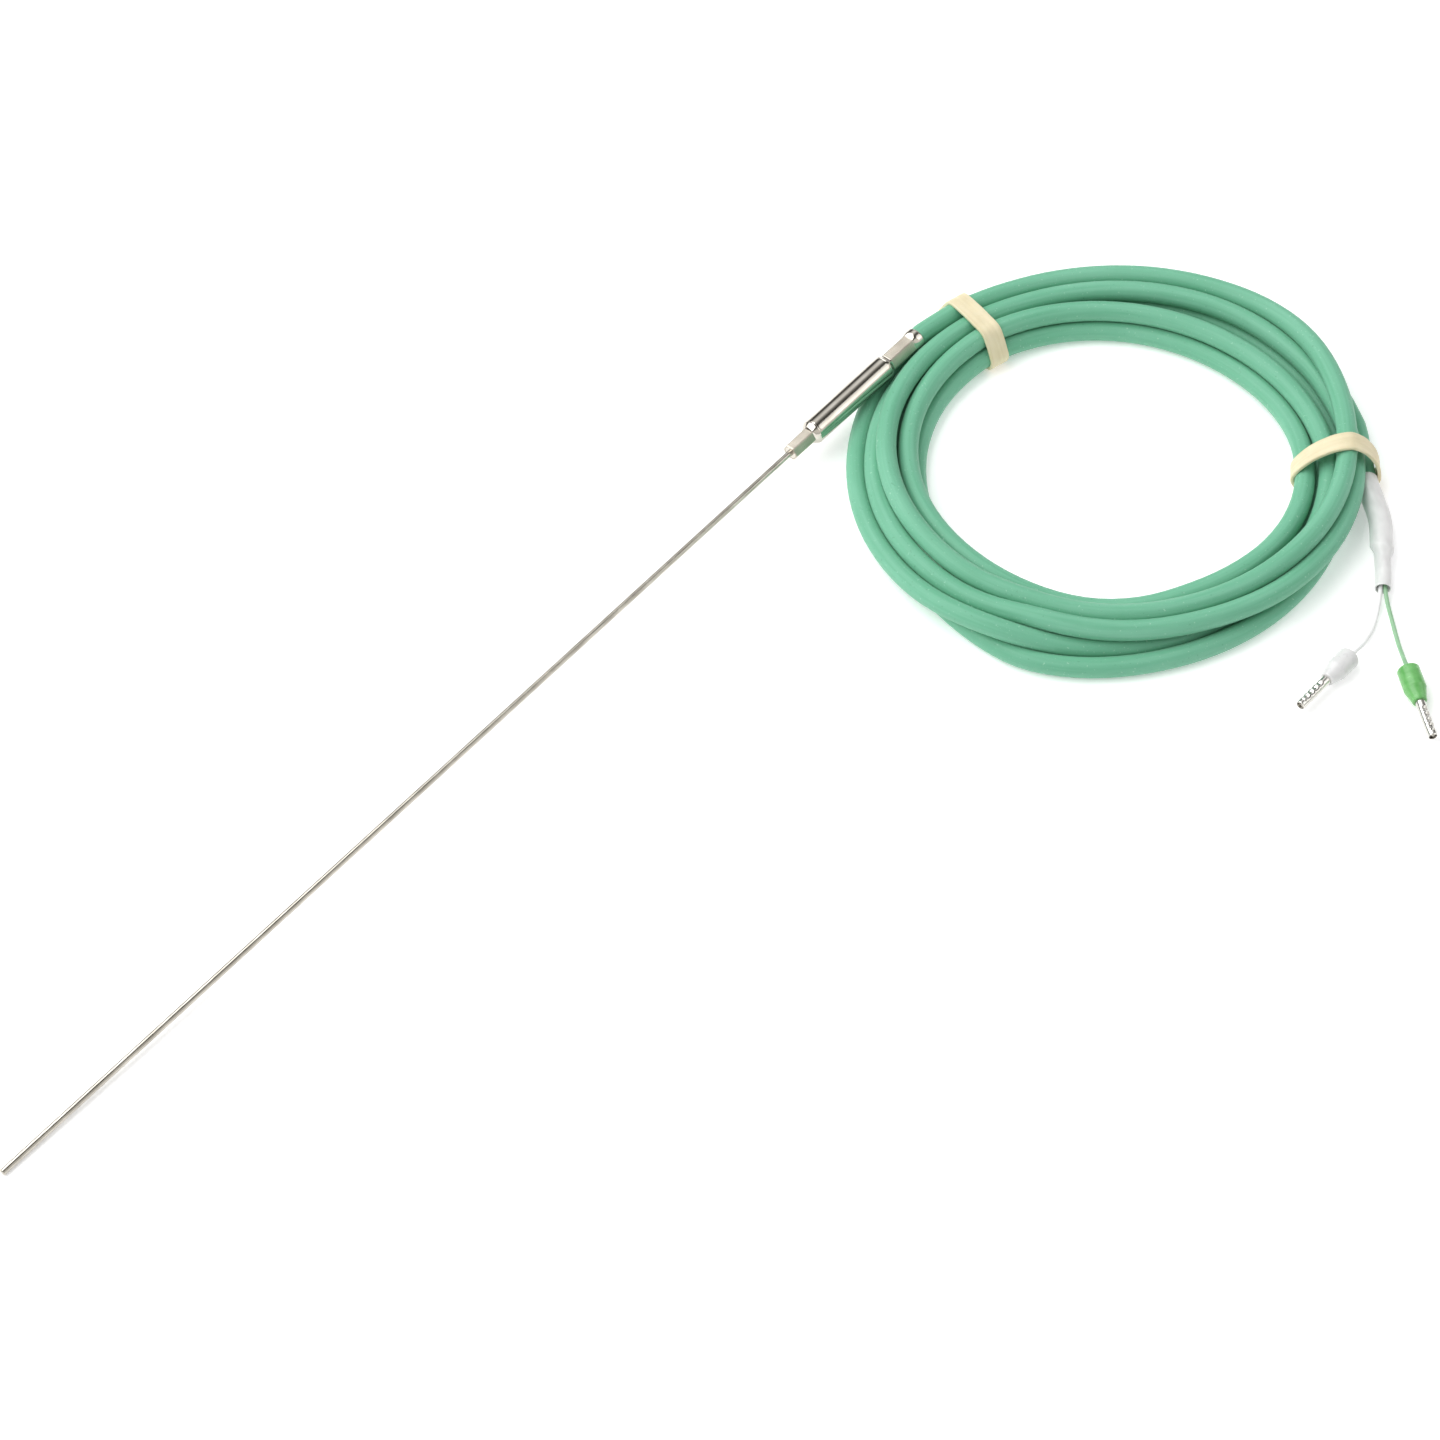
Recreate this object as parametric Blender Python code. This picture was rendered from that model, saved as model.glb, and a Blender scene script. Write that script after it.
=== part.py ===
"""A mineral-insulated type K thermocouple with a 2 m connecting cable.

A thin closed metal sheath holds two alloy wires in packed magnesia, welded together at the tip.
A crimped transition sleeve joins them to the two cores of a green cable. The cable is wound into a
round coil held by two rubber bands, and its two cores end in insulated crimp ferrules.

Two frames carry the parts. "probe_axis" starts at the sheath's tip and points along the sheath, so
everything turned or bored on the probe is placed by its distance from the tip. "coil_frame" sits at
the coil's centre on the table, and places are given there by a clock angle, clockwise from where
the cable leaves the sleeve, and a radius.
"""

import math

import bmesh
import bpy
from mathutils import Vector

MM = 0.001

# ---- Driving dimensions ------------------------------------------------------------------------

# Measuring probe
SHEATH_DIAMETER = 1.5 * MM
SHEATH_FREE_LENGTH = 250.0 * MM      # from the tip to the sleeve's nose
SHEATH_IN_SLEEVE = 10.0 * MM
SHEATH_TIP_CHAMFER = 0.1 * MM
# Wires, insulation and sheath are drawn down together, so these stay shares of its diameter
SHEATH_WALL_SHARE = 0.15
WIRE_SHARE = 0.16
WIRE_OFFSET_SHARE = 0.153            # of each thermoelement from the sheath's axis
JUNCTION_SHARE = 0.4
TIP_WELD_DEPTH = 0.9 * MM
TIP_FILL_LENGTH = 0.7 * MM

# Transition sleeve
SLEEVE_LENGTH = 46.4 * MM
SLEEVE_DIAMETER = 6.0 * MM
SLEEVE_WALL = 0.4 * MM
NOSE_LENGTH = 6.9 * MM
NOSE_ACROSS_FLATS = 3.7 * MM
NOSE_WALL = 0.32 * MM
REAR_CRIMP_LENGTH = 8.0 * MM
REAR_CRIMP_ACROSS_FLATS = 4.5 * MM
REAR_CRIMP_WALL = 0.3 * MM
MOUTH_LENGTH = 2.9 * MM
MOUTH_WALL = 0.25 * MM
SHOULDER_LENGTH = 1.5 * MM

# Cable and its cores
CABLE_DIAMETER = 4.8 * MM
CORE_DIAMETER = 1.0 * MM
CONDUCTOR_DIAMETER = 0.6 * MM
CORE_WEB = 0.12 * MM                 # from the cable's axis to a core inside the jacket

# Splices inside the sleeve
SPLICE_LENGTH = 5.5 * MM
SPLICE_WALL = 0.17 * MM
SPLICE_TUBE_LENGTH = 8.0 * MM
SPLICE_TUBE_WALL = 0.17 * MM
SPLICE_WEB = 0.25 * MM               # from the sleeve's axis to a splice tube
SPLICE_SPREAD_LENGTH = 5.0 * MM      # over which the wires part from the sheath to the splices
POTTING_PAST_SPLICES = 2.0 * MM

# Coil of cable, wound clockwise seen from above
COIL_INNER_RADIUS = 42.4 * MM
COIL_OUTER_RADIUS = 60.8 * MM
COIL_EXIT_INSET = 3.8 * MM           # from the coil's outer radius to the first strand
COIL_PAST_MOUTH = 1.2 * MM           # of the coil's centre beyond the sleeve's mouth
COIL_HEIGHT = 10.0 * MM
COIL_EDGE = 3.4 * MM                 # slope on the coil's upper edges
COIL_FOOT = 1.6 * MM                 # slope on the coil's lower edges
SLEEVE_OVER_STRAND = 0.2 * MM        # gap over the lowest strand, which the sleeve rests on
LEAD_END_ANGLE = math.radians(36.0)
TAIL_START_ANGLE = math.radians(113.0)
TAIL_INSET = 1.6 * MM                # from the coil's outer radius to the last strand
TAIL_LEAVES_ANGLE = math.radians(138.0)
CHANNEL_END_ANGLE = math.radians(166.0)

# Rubber bands
BAND_WIDTH = 5.1 * MM
BAND_THICKNESS = 0.9 * MM
BAND_CORNER = 3.0 * MM
BAND_LIFT = 0.1 * MM                 # of a band's underside above the table
FIRST_BAND_ANGLE = math.radians(13.4)
SECOND_BAND_ANGLE = math.radians(141.5)

# Heat-shrink sleeve over the end of the jacket
SHRINK_WALL = 0.25 * MM
SHRINK_NECK_DIAMETER = 3.8 * MM
SHRINK_JACKET_LENGTH = 20.0 * MM     # of jacket inside the heat-shrink

# End sleeves on the two cores
COLLAR_DIAMETER = 5.2 * MM
COLLAR_LENGTH = 9.4 * MM
COLLAR_CONE_LENGTH = 3.2 * MM
COLLAR_ENTRY_CLEARANCE = 0.45 * MM   # radial, round a core where it enters the collar
PIN_DIAMETER = 2.3 * MM
PIN_WALL = 0.25 * MM
PIN_LENGTH = 9.8 * MM                # beyond the collar
PIN_IN_COLLAR = 6.0 * MM

# Fits
SLIDE = 0.03 * MM                    # radial, round parts inside one another on the probe
LOOSE = 0.1 * MM                     # radial, cable in the sleeve's mouth and in the heat-shrink
BUTT = 0.05 * MM                     # between end faces inside the probe
REST_GAP = 0.3 * MM                  # between pieces that lie against each other

# Facets
TUBE_SIDES = 24
SLEEVE_SIDES = 48
SMALL_SIDES = 16
COIL_STEPS = 96

# ---- Derived places ----------------------------------------------------------------------------

sheath_radius = SHEATH_DIAMETER / 2
cable_radius = CABLE_DIAMETER / 2
core_radius = CORE_DIAMETER / 2
bore_radius = sheath_radius - SHEATH_DIAMETER * SHEATH_WALL_SHARE
fill_radius = bore_radius - SLIDE
wire_radius = SHEATH_DIAMETER * WIRE_SHARE / 2
wire_offset = SHEATH_DIAMETER * WIRE_OFFSET_SHARE
junction_radius = SHEATH_DIAMETER * JUNCTION_SHARE / 2
mouth_diameter = CABLE_DIAMETER + 2 * (LOOSE + MOUTH_WALL)
sleeve_end = SHEATH_FREE_LENGTH + SLEEVE_LENGTH
rest_height = CABLE_DIAMETER + SLEEVE_DIAMETER / 2 + SLEEVE_OVER_STRAND
probe_rise = math.asin((rest_height - sheath_radius) / sleeve_end)
probe_reach = sleeve_end * math.cos(probe_rise)
tip_height = sheath_radius * math.cos(probe_rise) - SHEATH_TIP_CHAMFER * math.sin(probe_rise)
mouth_x = probe_reach / 2
mouth_height = tip_height + sleeve_end * math.sin(probe_rise)
exit_radius = COIL_OUTER_RADIUS - COIL_EXIT_INSET
tail_radius = COIL_OUTER_RADIUS - TAIL_INSET
coil_centre = Vector((mouth_x + COIL_PAST_MOUTH, -exit_radius, 0.0))

nose_end = SHEATH_FREE_LENGTH + NOSE_LENGTH
mouth_start = sleeve_end - MOUTH_LENGTH
crimp_start = mouth_start - REAR_CRIMP_LENGTH
body_end = crimp_start - SHOULDER_LENGTH
body_start = nose_end + SHOULDER_LENGTH
body_bore = SLEEVE_DIAMETER / 2 - SLEEVE_WALL
crimp_bore = REAR_CRIMP_ACROSS_FLATS / 2 - REAR_CRIMP_WALL
nose_bore = NOSE_ACROSS_FLATS / 2 - NOSE_WALL

sheath_end = SHEATH_FREE_LENGTH + SHEATH_IN_SLEEVE
splice_start = sheath_end + SPLICE_SPREAD_LENGTH
splice_end = splice_start + SPLICE_LENGTH
conductor_radius = CONDUCTOR_DIAMETER / 2
splice_radius = conductor_radius + SLIDE + SPLICE_WALL
splice_tube_radius = splice_radius + SLIDE + SPLICE_TUBE_WALL
splice_tube_start = splice_start - 1.0 * MM
splice_tube_end = splice_tube_start + SPLICE_TUBE_LENGTH
core_offset_in_jacket = core_radius + CORE_WEB
core_offset_in_splice = max(splice_tube_radius, core_radius) + SPLICE_WEB

shrink_radius = cable_radius + LOOSE + SHRINK_WALL
neck_radius = SHRINK_NECK_DIAMETER / 2
band_inside_floor = BAND_LIFT + BAND_THICKNESS
tail_height = band_inside_floor + REST_GAP + shrink_radius


# ---- Modelling helpers -------------------------------------------------------------------------

def clear_scene():
    """Start from an empty scene."""
    for item in list(bpy.data.objects):
        bpy.data.objects.remove(item, do_unlink=True)


def finish_for(name, colour, metallic, roughness):
    """One plain material for one named piece."""
    material = bpy.data.materials.new(name)
    material.use_nodes = True
    shader = material.node_tree.nodes["Principled BSDF"]
    shader.inputs["Base Color"].default_value = (*colour, 1.0)
    shader.inputs["Metallic"].default_value = metallic
    shader.inputs["Roughness"].default_value = roughness
    material.diffuse_color = (*colour, 1.0)
    return material


STEEL = ((0.55, 0.54, 0.52), 1.0, 0.3)
NICKEL_PLATE = ((0.68, 0.66, 0.62), 1.0, 0.22)
POSITIVE_ALLOY = ((0.5, 0.47, 0.42), 1.0, 0.4)
NEGATIVE_ALLOY = ((0.42, 0.42, 0.43), 1.0, 0.4)
TINNED_COPPER = ((0.72, 0.71, 0.69), 1.0, 0.3)
CERAMIC_WHITE = ((0.85, 0.84, 0.8), 0.0, 0.8)
EPOXY = ((0.09, 0.08, 0.07), 0.0, 0.35)
CABLE_GREEN = ((0.16, 0.53, 0.33), 0.0, 0.6)
CORE_GREEN = ((0.22, 0.62, 0.26), 0.0, 0.45)
COLLAR_GREEN = ((0.12, 0.55, 0.1), 0.0, 0.35)
PLASTIC_WHITE = ((0.85, 0.85, 0.84), 0.0, 0.45)
RUBBER_CREAM = ((0.8, 0.7, 0.46), 0.0, 0.65)


def add_piece(name, mesh, parent, look):
    """Link a finished mesh as one named piece, shaded smooth where it is round."""
    piece = bpy.data.objects.new(name, mesh)
    bpy.context.scene.collection.objects.link(piece)
    piece.parent = parent
    piece.data.materials.append(finish_for(name + "_finish", *look))
    return piece


def as_cutter(piece):
    """Hide a piece that only cuts others."""
    piece.hide_render = True
    piece.display_type = "WIRE"
    return piece


def cut(piece, cutter):
    """Take the cutter's shape out of a piece."""
    modifier = piece.modifiers.new("cut_" + cutter.name, "BOOLEAN")
    modifier.operation = "DIFFERENCE"
    modifier.solver = "EXACT"
    modifier.object = cutter


def turned(name, outline, sides, parent, look, axis="X", hollow=True, phase=0.0):
    """Spin an outline of (distance along the axis, radius) pairs into a round solid.

    A hollow piece has a closed outline; a full one runs from the axis out and back to the axis.
    """
    mesh = bpy.data.meshes.new(name)
    bm = bmesh.new()
    down = Vector((0.0, math.sin(phase), -math.cos(phase)))
    along = Vector((1.0, 0.0, 0.0))
    if axis == "Z":
        down = Vector((math.cos(phase), math.sin(phase), 0.0))
        along = Vector((0.0, 0.0, 1.0))
    verts = [bm.verts.new(along * place + down * radius) for place, radius in outline]
    pairs = list(zip(verts, verts[1:]))
    if hollow:
        pairs.append((verts[-1], verts[0]))
    edges = [bm.edges.new(pair) for pair in pairs]
    bmesh.ops.spin(bm, geom=verts + edges, cent=(0, 0, 0), axis=along, angle=2 * math.pi,
                   steps=sides, use_merge=True)
    bmesh.ops.remove_doubles(bm, verts=bm.verts, dist=1e-7)
    bmesh.ops.recalc_face_normals(bm, faces=bm.faces)
    for face in bm.faces:
        face.smooth = True
    bm.to_mesh(mesh)
    bm.free()
    return add_piece(name, mesh, parent, look)


def smooth_route(points, spacing):
    """Points at an even spacing on a smooth curve through the route's points."""
    dense = []
    last = len(points) - 1
    for index in range(last):
        before = points[max(index - 1, 0)]
        start = points[index]
        end = points[index + 1]
        after = points[min(index + 2, last)]
        for step in range(24):
            u = step / 24
            dense.append(0.5 * ((2 * start) + (end - before) * u
                                + (2 * before - 5 * start + 4 * end - after) * u ** 2
                                + (3 * start - before - 3 * end + after) * u ** 3))
    dense.append(points[last])
    lengths = [0.0]
    for first, second in zip(dense, dense[1:]):
        lengths.append(lengths[-1] + (second - first).length)
    count = max(2, round(lengths[-1] / spacing))
    even = []
    cursor = 0
    for index in range(count + 1):
        wanted = lengths[-1] * index / count
        while cursor < len(lengths) - 2 and lengths[cursor + 1] < wanted:
            cursor += 1
        span = lengths[cursor + 1] - lengths[cursor]
        share = (wanted - lengths[cursor]) / span
        even.append(dense[cursor].lerp(dense[cursor + 1], share))
    return even


def cord(name, points, diameter, parent, look, roundness=2):
    """A round solid cord along the points given, with flat capped ends."""
    curve = bpy.data.curves.new(name, "CURVE")
    curve.dimensions = "3D"
    curve.bevel_depth = diameter / 2
    curve.bevel_resolution = roundness
    curve.use_fill_caps = True
    curve.render_resolution_u = 0
    spline = curve.splines.new("POLY")
    spline.points.add(len(points) - 1)
    for target, point in zip(spline.points, points):
        target.co = (*point, 1.0)
    spline.use_smooth = True
    return add_piece(name, curve, parent, look)


def lofted_tube(name, points, outer, inner, sides, parent, look):
    """A hollow tube along a path, with its own outer and inner radius at every point."""
    mesh = bpy.data.meshes.new(name)
    bm = bmesh.new()
    rings = []
    side = Vector((0.0, 0.0, 1.0))
    for index, point in enumerate(points):
        ahead = points[min(index + 1, len(points) - 1)]
        behind = points[max(index - 1, 0)]
        along = (ahead - behind).normalized()
        side = (side - along * side.dot(along)).normalized()
        across = along.cross(side)
        pair = []
        for radius in (outer[index], inner[index]):
            ring = []
            for step in range(sides):
                angle = 2 * math.pi * step / sides
                offset = side * math.cos(angle) + across * math.sin(angle)
                ring.append(bm.verts.new(point + offset * radius))
            pair.append(ring)
        rings.append(pair)
    for step in range(sides):
        after = (step + 1) % sides
        for near, far in zip(rings, rings[1:]):
            for wall in (0, 1):
                bm.faces.new((near[wall][step], near[wall][after], far[wall][after], far[wall][step]))
        for end in (rings[0], rings[-1]):
            bm.faces.new((end[0][step], end[0][after], end[1][after], end[1][step]))
    bmesh.ops.recalc_face_normals(bm, faces=bm.faces)
    for face in bm.faces:
        face.smooth = True
    bm.to_mesh(mesh)
    bm.free()
    return add_piece(name, mesh, parent, look)


def hex_shell(name, across_flats, start, length, parent):
    """A cutter that leaves a hexagon of the width across flats out of a round bar."""
    mesh = bpy.data.meshes.new(name)
    bm = bmesh.new()
    corner = across_flats / 2 / math.cos(math.pi / 6)
    rings = []
    for place in (start, start + length):
        for radius in (corner, 3 * corner):
            ring = []
            for step in range(6):
                angle = math.pi / 3 * (step + 0.5)
                ring.append(bm.verts.new((place, math.cos(angle) * radius, math.sin(angle) * radius)))
            rings.append(ring)
    inner_a, outer_a, inner_b, outer_b = rings
    for step in range(6):
        after = (step + 1) % 6
        bm.faces.new((inner_a[step], inner_a[after], inner_b[after], inner_b[step]))
        bm.faces.new((outer_a[step], outer_a[after], outer_b[after], outer_b[step]))
        bm.faces.new((inner_a[step], inner_a[after], outer_a[after], outer_a[step]))
        bm.faces.new((inner_b[step], inner_b[after], outer_b[after], outer_b[step]))
    bmesh.ops.recalc_face_normals(bm, faces=bm.faces)
    bm.to_mesh(mesh)
    bm.free()
    return as_cutter(add_piece(name, mesh, parent, STEEL))


def rod_cutter(name, radius, start, end, sides, parent, offset=0.0):
    """A round cutter along the probe, its axis moved sideways by the offset."""
    outline = [(start, 0.0), (start, radius), (end, radius), (end, 0.0)]
    rod = turned(name, outline, sides, parent, STEEL, hollow=False)
    rod.location = (0.0, offset, 0.0)
    return as_cutter(rod)


def coil_sector(name, first_angle, last_angle, inner, outer, floor, top, parent):
    """A curved block between two clock angles of the coil, used to cut a channel in it."""
    mesh = bpy.data.meshes.new(name)
    bm = bmesh.new()
    steps = max(4, round((last_angle - first_angle) / math.radians(4.0)))
    slices = []
    for step in range(steps + 1):
        angle = first_angle + (last_angle - first_angle) * step / steps
        corners = ((inner, floor), (outer, floor), (outer, top), (inner, top))
        slices.append([bm.verts.new(clock_point(angle, radius, height)) for radius, height in corners])
    for near, far in zip(slices, slices[1:]):
        for corner in range(4):
            after = (corner + 1) % 4
            bm.faces.new((near[corner], near[after], far[after], far[corner]))
    bm.faces.new(slices[0])
    bm.faces.new(slices[-1])
    bmesh.ops.recalc_face_normals(bm, faces=bm.faces)
    bm.to_mesh(mesh)
    bm.free()
    return as_cutter(add_piece(name, mesh, parent, STEEL))


def clock_point(angle, radius, height):
    """A point in the coil's frame, its angle clockwise from the sleeve's mouth."""
    return Vector((radius * math.sin(angle), radius * math.cos(angle), height))


def past_coil(ahead, across, height):
    """A point of the free end, in millimetres along X and Y from where the cable leaves the coil."""
    place = clock_point(TAIL_LEAVES_ANGLE, tail_radius, 0.0) + Vector((ahead, across, 0.0)) * MM
    place.z = height
    return place


def rounded_outline(low, high, floor, top, corner, arc_steps=6):
    """A rectangle of radius and height with round corners, counter-clockwise."""
    centres = ((high - corner, floor + corner, -90), (high - corner, top - corner, 0),
               (low + corner, top - corner, 90), (low + corner, floor + corner, 180))
    outline = []
    for radius, height, start in centres:
        for step in range(arc_steps + 1):
            angle = math.radians(start + 90 * step / arc_steps)
            outline.append((radius + corner * math.cos(angle), height + corner * math.sin(angle)))
    return outline


def band_loop(name, angle, inside, outside, width, parent, look):
    """A flat band round the coil's section, between two outlines with equal point counts."""
    mesh = bpy.data.meshes.new(name)
    bm = bmesh.new()
    rings = []
    for across in (-width / 2, width / 2):
        for outline in (inside, outside):
            rings.append([bm.verts.new((across, radius, height)) for radius, height in outline])
    inner_a, outer_a, inner_b, outer_b = rings
    count = len(inside)
    for step in range(count):
        after = (step + 1) % count
        bm.faces.new((inner_a[step], inner_a[after], inner_b[after], inner_b[step]))
        bm.faces.new((outer_a[step], outer_a[after], outer_b[after], outer_b[step]))
        bm.faces.new((inner_a[step], inner_a[after], outer_a[after], outer_a[step]))
        bm.faces.new((inner_b[step], inner_b[after], outer_b[after], outer_b[step]))
    bmesh.ops.recalc_face_normals(bm, faces=bm.faces)
    for face in bm.faces:
        face.smooth = True
    bm.to_mesh(mesh)
    bm.free()
    piece = add_piece(name, mesh, parent, look)
    piece.rotation_euler = (0.0, 0.0, -angle)
    return piece


def frame_empty(name, location, rotation):
    """An empty that carries the pieces placed in its frame."""
    empty = bpy.data.objects.new(name, None)
    empty.empty_display_size = 5 * MM
    empty.location = location
    empty.rotation_euler = rotation
    bpy.context.scene.collection.objects.link(empty)
    return empty


# ---- Probe: sheath, insulation and thermoelements ----------------------------------------------

def build_sheath(axis):
    """The closed metal sheath, its weld plug and the packed magnesia."""
    turned("sheath_tube",
           [(0.0, bore_radius), (0.0, sheath_radius - SHEATH_TIP_CHAMFER),
            (SHEATH_TIP_CHAMFER, sheath_radius), (sheath_end, sheath_radius),
            (sheath_end, bore_radius)],
           TUBE_SIDES, axis, STEEL)
    turned("tip_weld_plug",
           [(0.0, 0.0), (0.0, fill_radius), (TIP_WELD_DEPTH, fill_radius), (TIP_WELD_DEPTH, 0.0)],
           TUBE_SIDES, axis, STEEL, hollow=False)
    fill_start = TIP_WELD_DEPTH + BUTT
    fill_end = fill_start + TIP_FILL_LENGTH
    turned("magnesia_tip_fill",
           [(fill_start, 0.0), (fill_start, fill_radius), (fill_end, fill_radius), (fill_end, 0.0)],
           TUBE_SIDES, axis, CERAMIC_WHITE, hollow=False)

    core_start = fill_end + BUTT
    core_end = sheath_end - 1.0 * MM
    junction_place = core_start + junction_radius + BUTT
    pocket_radius = junction_radius + 2 * SLIDE
    pocket_end = junction_place + junction_radius + BUTT
    magnesia = turned("magnesia_core",
                      [(pocket_end, 0.0), (pocket_end, pocket_radius), (core_start, pocket_radius),
                       (core_start, fill_radius), (core_end, fill_radius), (core_end, 0.0)],
                      TUBE_SIDES, axis, CERAMIC_WHITE, hollow=False)

    beads = bpy.data.meshes.new("hot_junction")
    bm = bmesh.new()
    bmesh.ops.create_icosphere(bm, subdivisions=2, radius=junction_radius)
    for face in bm.faces:
        face.smooth = True
    bm.to_mesh(beads)
    bm.free()
    bead = add_piece("hot_junction", beads, axis, POSITIVE_ALLOY)
    bead.location = (junction_place, 0.0, 0.0)

    wire_start = junction_place + math.sqrt(junction_radius ** 2 - (wire_offset - wire_radius) ** 2)
    seal_start = core_end + BUTT
    seal_end = sheath_end + 0.9 * MM
    seal = turned("cold_end_seal",
                  [(seal_start, 0.0), (seal_start, fill_radius), (sheath_end + BUTT, fill_radius),
                   (sheath_end + BUTT, sheath_radius), (seal_end, sheath_radius), (seal_end, 0.0)],
                  TUBE_SIDES, axis, EPOXY, hollow=False)
    for side, name, look in ((1, "positive", POSITIVE_ALLOY), (-1, "negative", NEGATIVE_ALLOY)):
        bore = rod_cutter(name + "_wire_bore_cut", wire_radius + SLIDE, core_start + BUTT,
                          seal_end + 1.0 * MM, SMALL_SIDES, axis, side * wire_offset)
        cut(magnesia, bore)
        cut(seal, bore)
        near = Vector((0.0, side * wire_offset, 0.0))
        far = Vector((0.0, side * core_offset_in_splice, 0.0))
        route = [near + Vector((wire_start + BUTT, 0.0, 0.0)), near + Vector((seal_end, 0.0, 0.0)),
                 near.lerp(far, 0.15) + Vector((seal_end + 1.2 * MM, 0.0, 0.0)),
                 near.lerp(far, 0.85) + Vector((splice_start - 1.4 * MM, 0.0, 0.0)),
                 far + Vector((splice_start - 0.4 * MM, 0.0, 0.0)),
                 far + Vector((splice_start + SPLICE_LENGTH * 0.45, 0.0, 0.0))]
        cord(name + "_thermoelement", route, 2 * wire_radius, axis, look)


# ---- Transition sleeve and what it holds -------------------------------------------------------

def build_sleeve(axis):
    """The crimped metal sleeve that joins the sheath to the cable."""
    nose_radius = NOSE_ACROSS_FLATS / 2 * 1.12
    crimp_radius = REAR_CRIMP_ACROSS_FLATS / 2 * 1.1
    body_radius = SLEEVE_DIAMETER / 2
    mouth_radius = mouth_diameter / 2
    mouth_bore = cable_radius + LOOSE
    lip = 0.25 * MM
    outline = [(SHEATH_FREE_LENGTH, nose_bore), (SHEATH_FREE_LENGTH, nose_radius - lip / 2),
               (SHEATH_FREE_LENGTH + lip, nose_radius), (nose_end, nose_radius),
               (body_start - lip, body_radius - lip), (body_start + lip, body_radius),
               (body_end - lip, body_radius), (body_end + lip, body_radius - lip),
               (crimp_start, crimp_radius), (mouth_start, crimp_radius),
               (sleeve_end - MOUTH_LENGTH * 0.45, mouth_radius - lip / 2),
               (sleeve_end - lip, mouth_radius), (sleeve_end, mouth_radius - lip / 2),
               (sleeve_end, mouth_bore), (sleeve_end - MOUTH_LENGTH * 0.6, mouth_bore),
               (mouth_start, crimp_bore), (crimp_start, crimp_bore), (body_end, body_bore),
               (body_start, body_bore), (nose_end, nose_bore)]
    sleeve = turned("transition_sleeve", outline, SLEEVE_SIDES, axis, NICKEL_PLATE)
    overrun = 0.5 * MM
    cut(sleeve, hex_shell("nose_crimp_cut", NOSE_ACROSS_FLATS, SHEATH_FREE_LENGTH - overrun,
                          NOSE_LENGTH + overrun, axis))
    cut(sleeve, hex_shell("rear_crimp_cut", REAR_CRIMP_ACROSS_FLATS, crimp_start,
                          REAR_CRIMP_LENGTH, axis))

    bush_start = SHEATH_FREE_LENGTH + BUTT
    turned("sheath_bush",
           [(bush_start, sheath_radius + SLIDE), (bush_start, nose_bore - SLIDE),
            (nose_end - BUTT, nose_bore - SLIDE), (nose_end - BUTT, sheath_radius + SLIDE)],
           TUBE_SIDES, axis, NICKEL_PLATE)

    potting_start = body_start + BUTT
    potting_end = splice_tube_end + POTTING_PAST_SPLICES
    sheath_hole = sheath_radius + SLIDE
    sheath_hole_end = sheath_end + 1.2 * MM
    spread_radius = core_offset_in_splice + conductor_radius + 2 * SLIDE
    spread_end = splice_tube_start + 0.2 * MM
    potting = turned("potting_compound",
                     [(spread_end, 0.0), (spread_end, spread_radius),
                      (sheath_hole_end, spread_radius), (sheath_hole_end, sheath_hole),
                      (potting_start, sheath_hole), (potting_start, body_bore - SLIDE),
                      (potting_end, body_bore - SLIDE), (potting_end, 0.0)],
                     TUBE_SIDES, axis, EPOXY, hollow=False)
    for side, name in ((1, "positive"), (-1, "negative")):
        cut(potting, rod_cutter(name + "_splice_bore_cut", splice_tube_radius + SLIDE,
                                splice_tube_start - 0.6 * MM, potting_end + 1.0 * MM,
                                SMALL_SIDES, axis, side * core_offset_in_splice))


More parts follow.
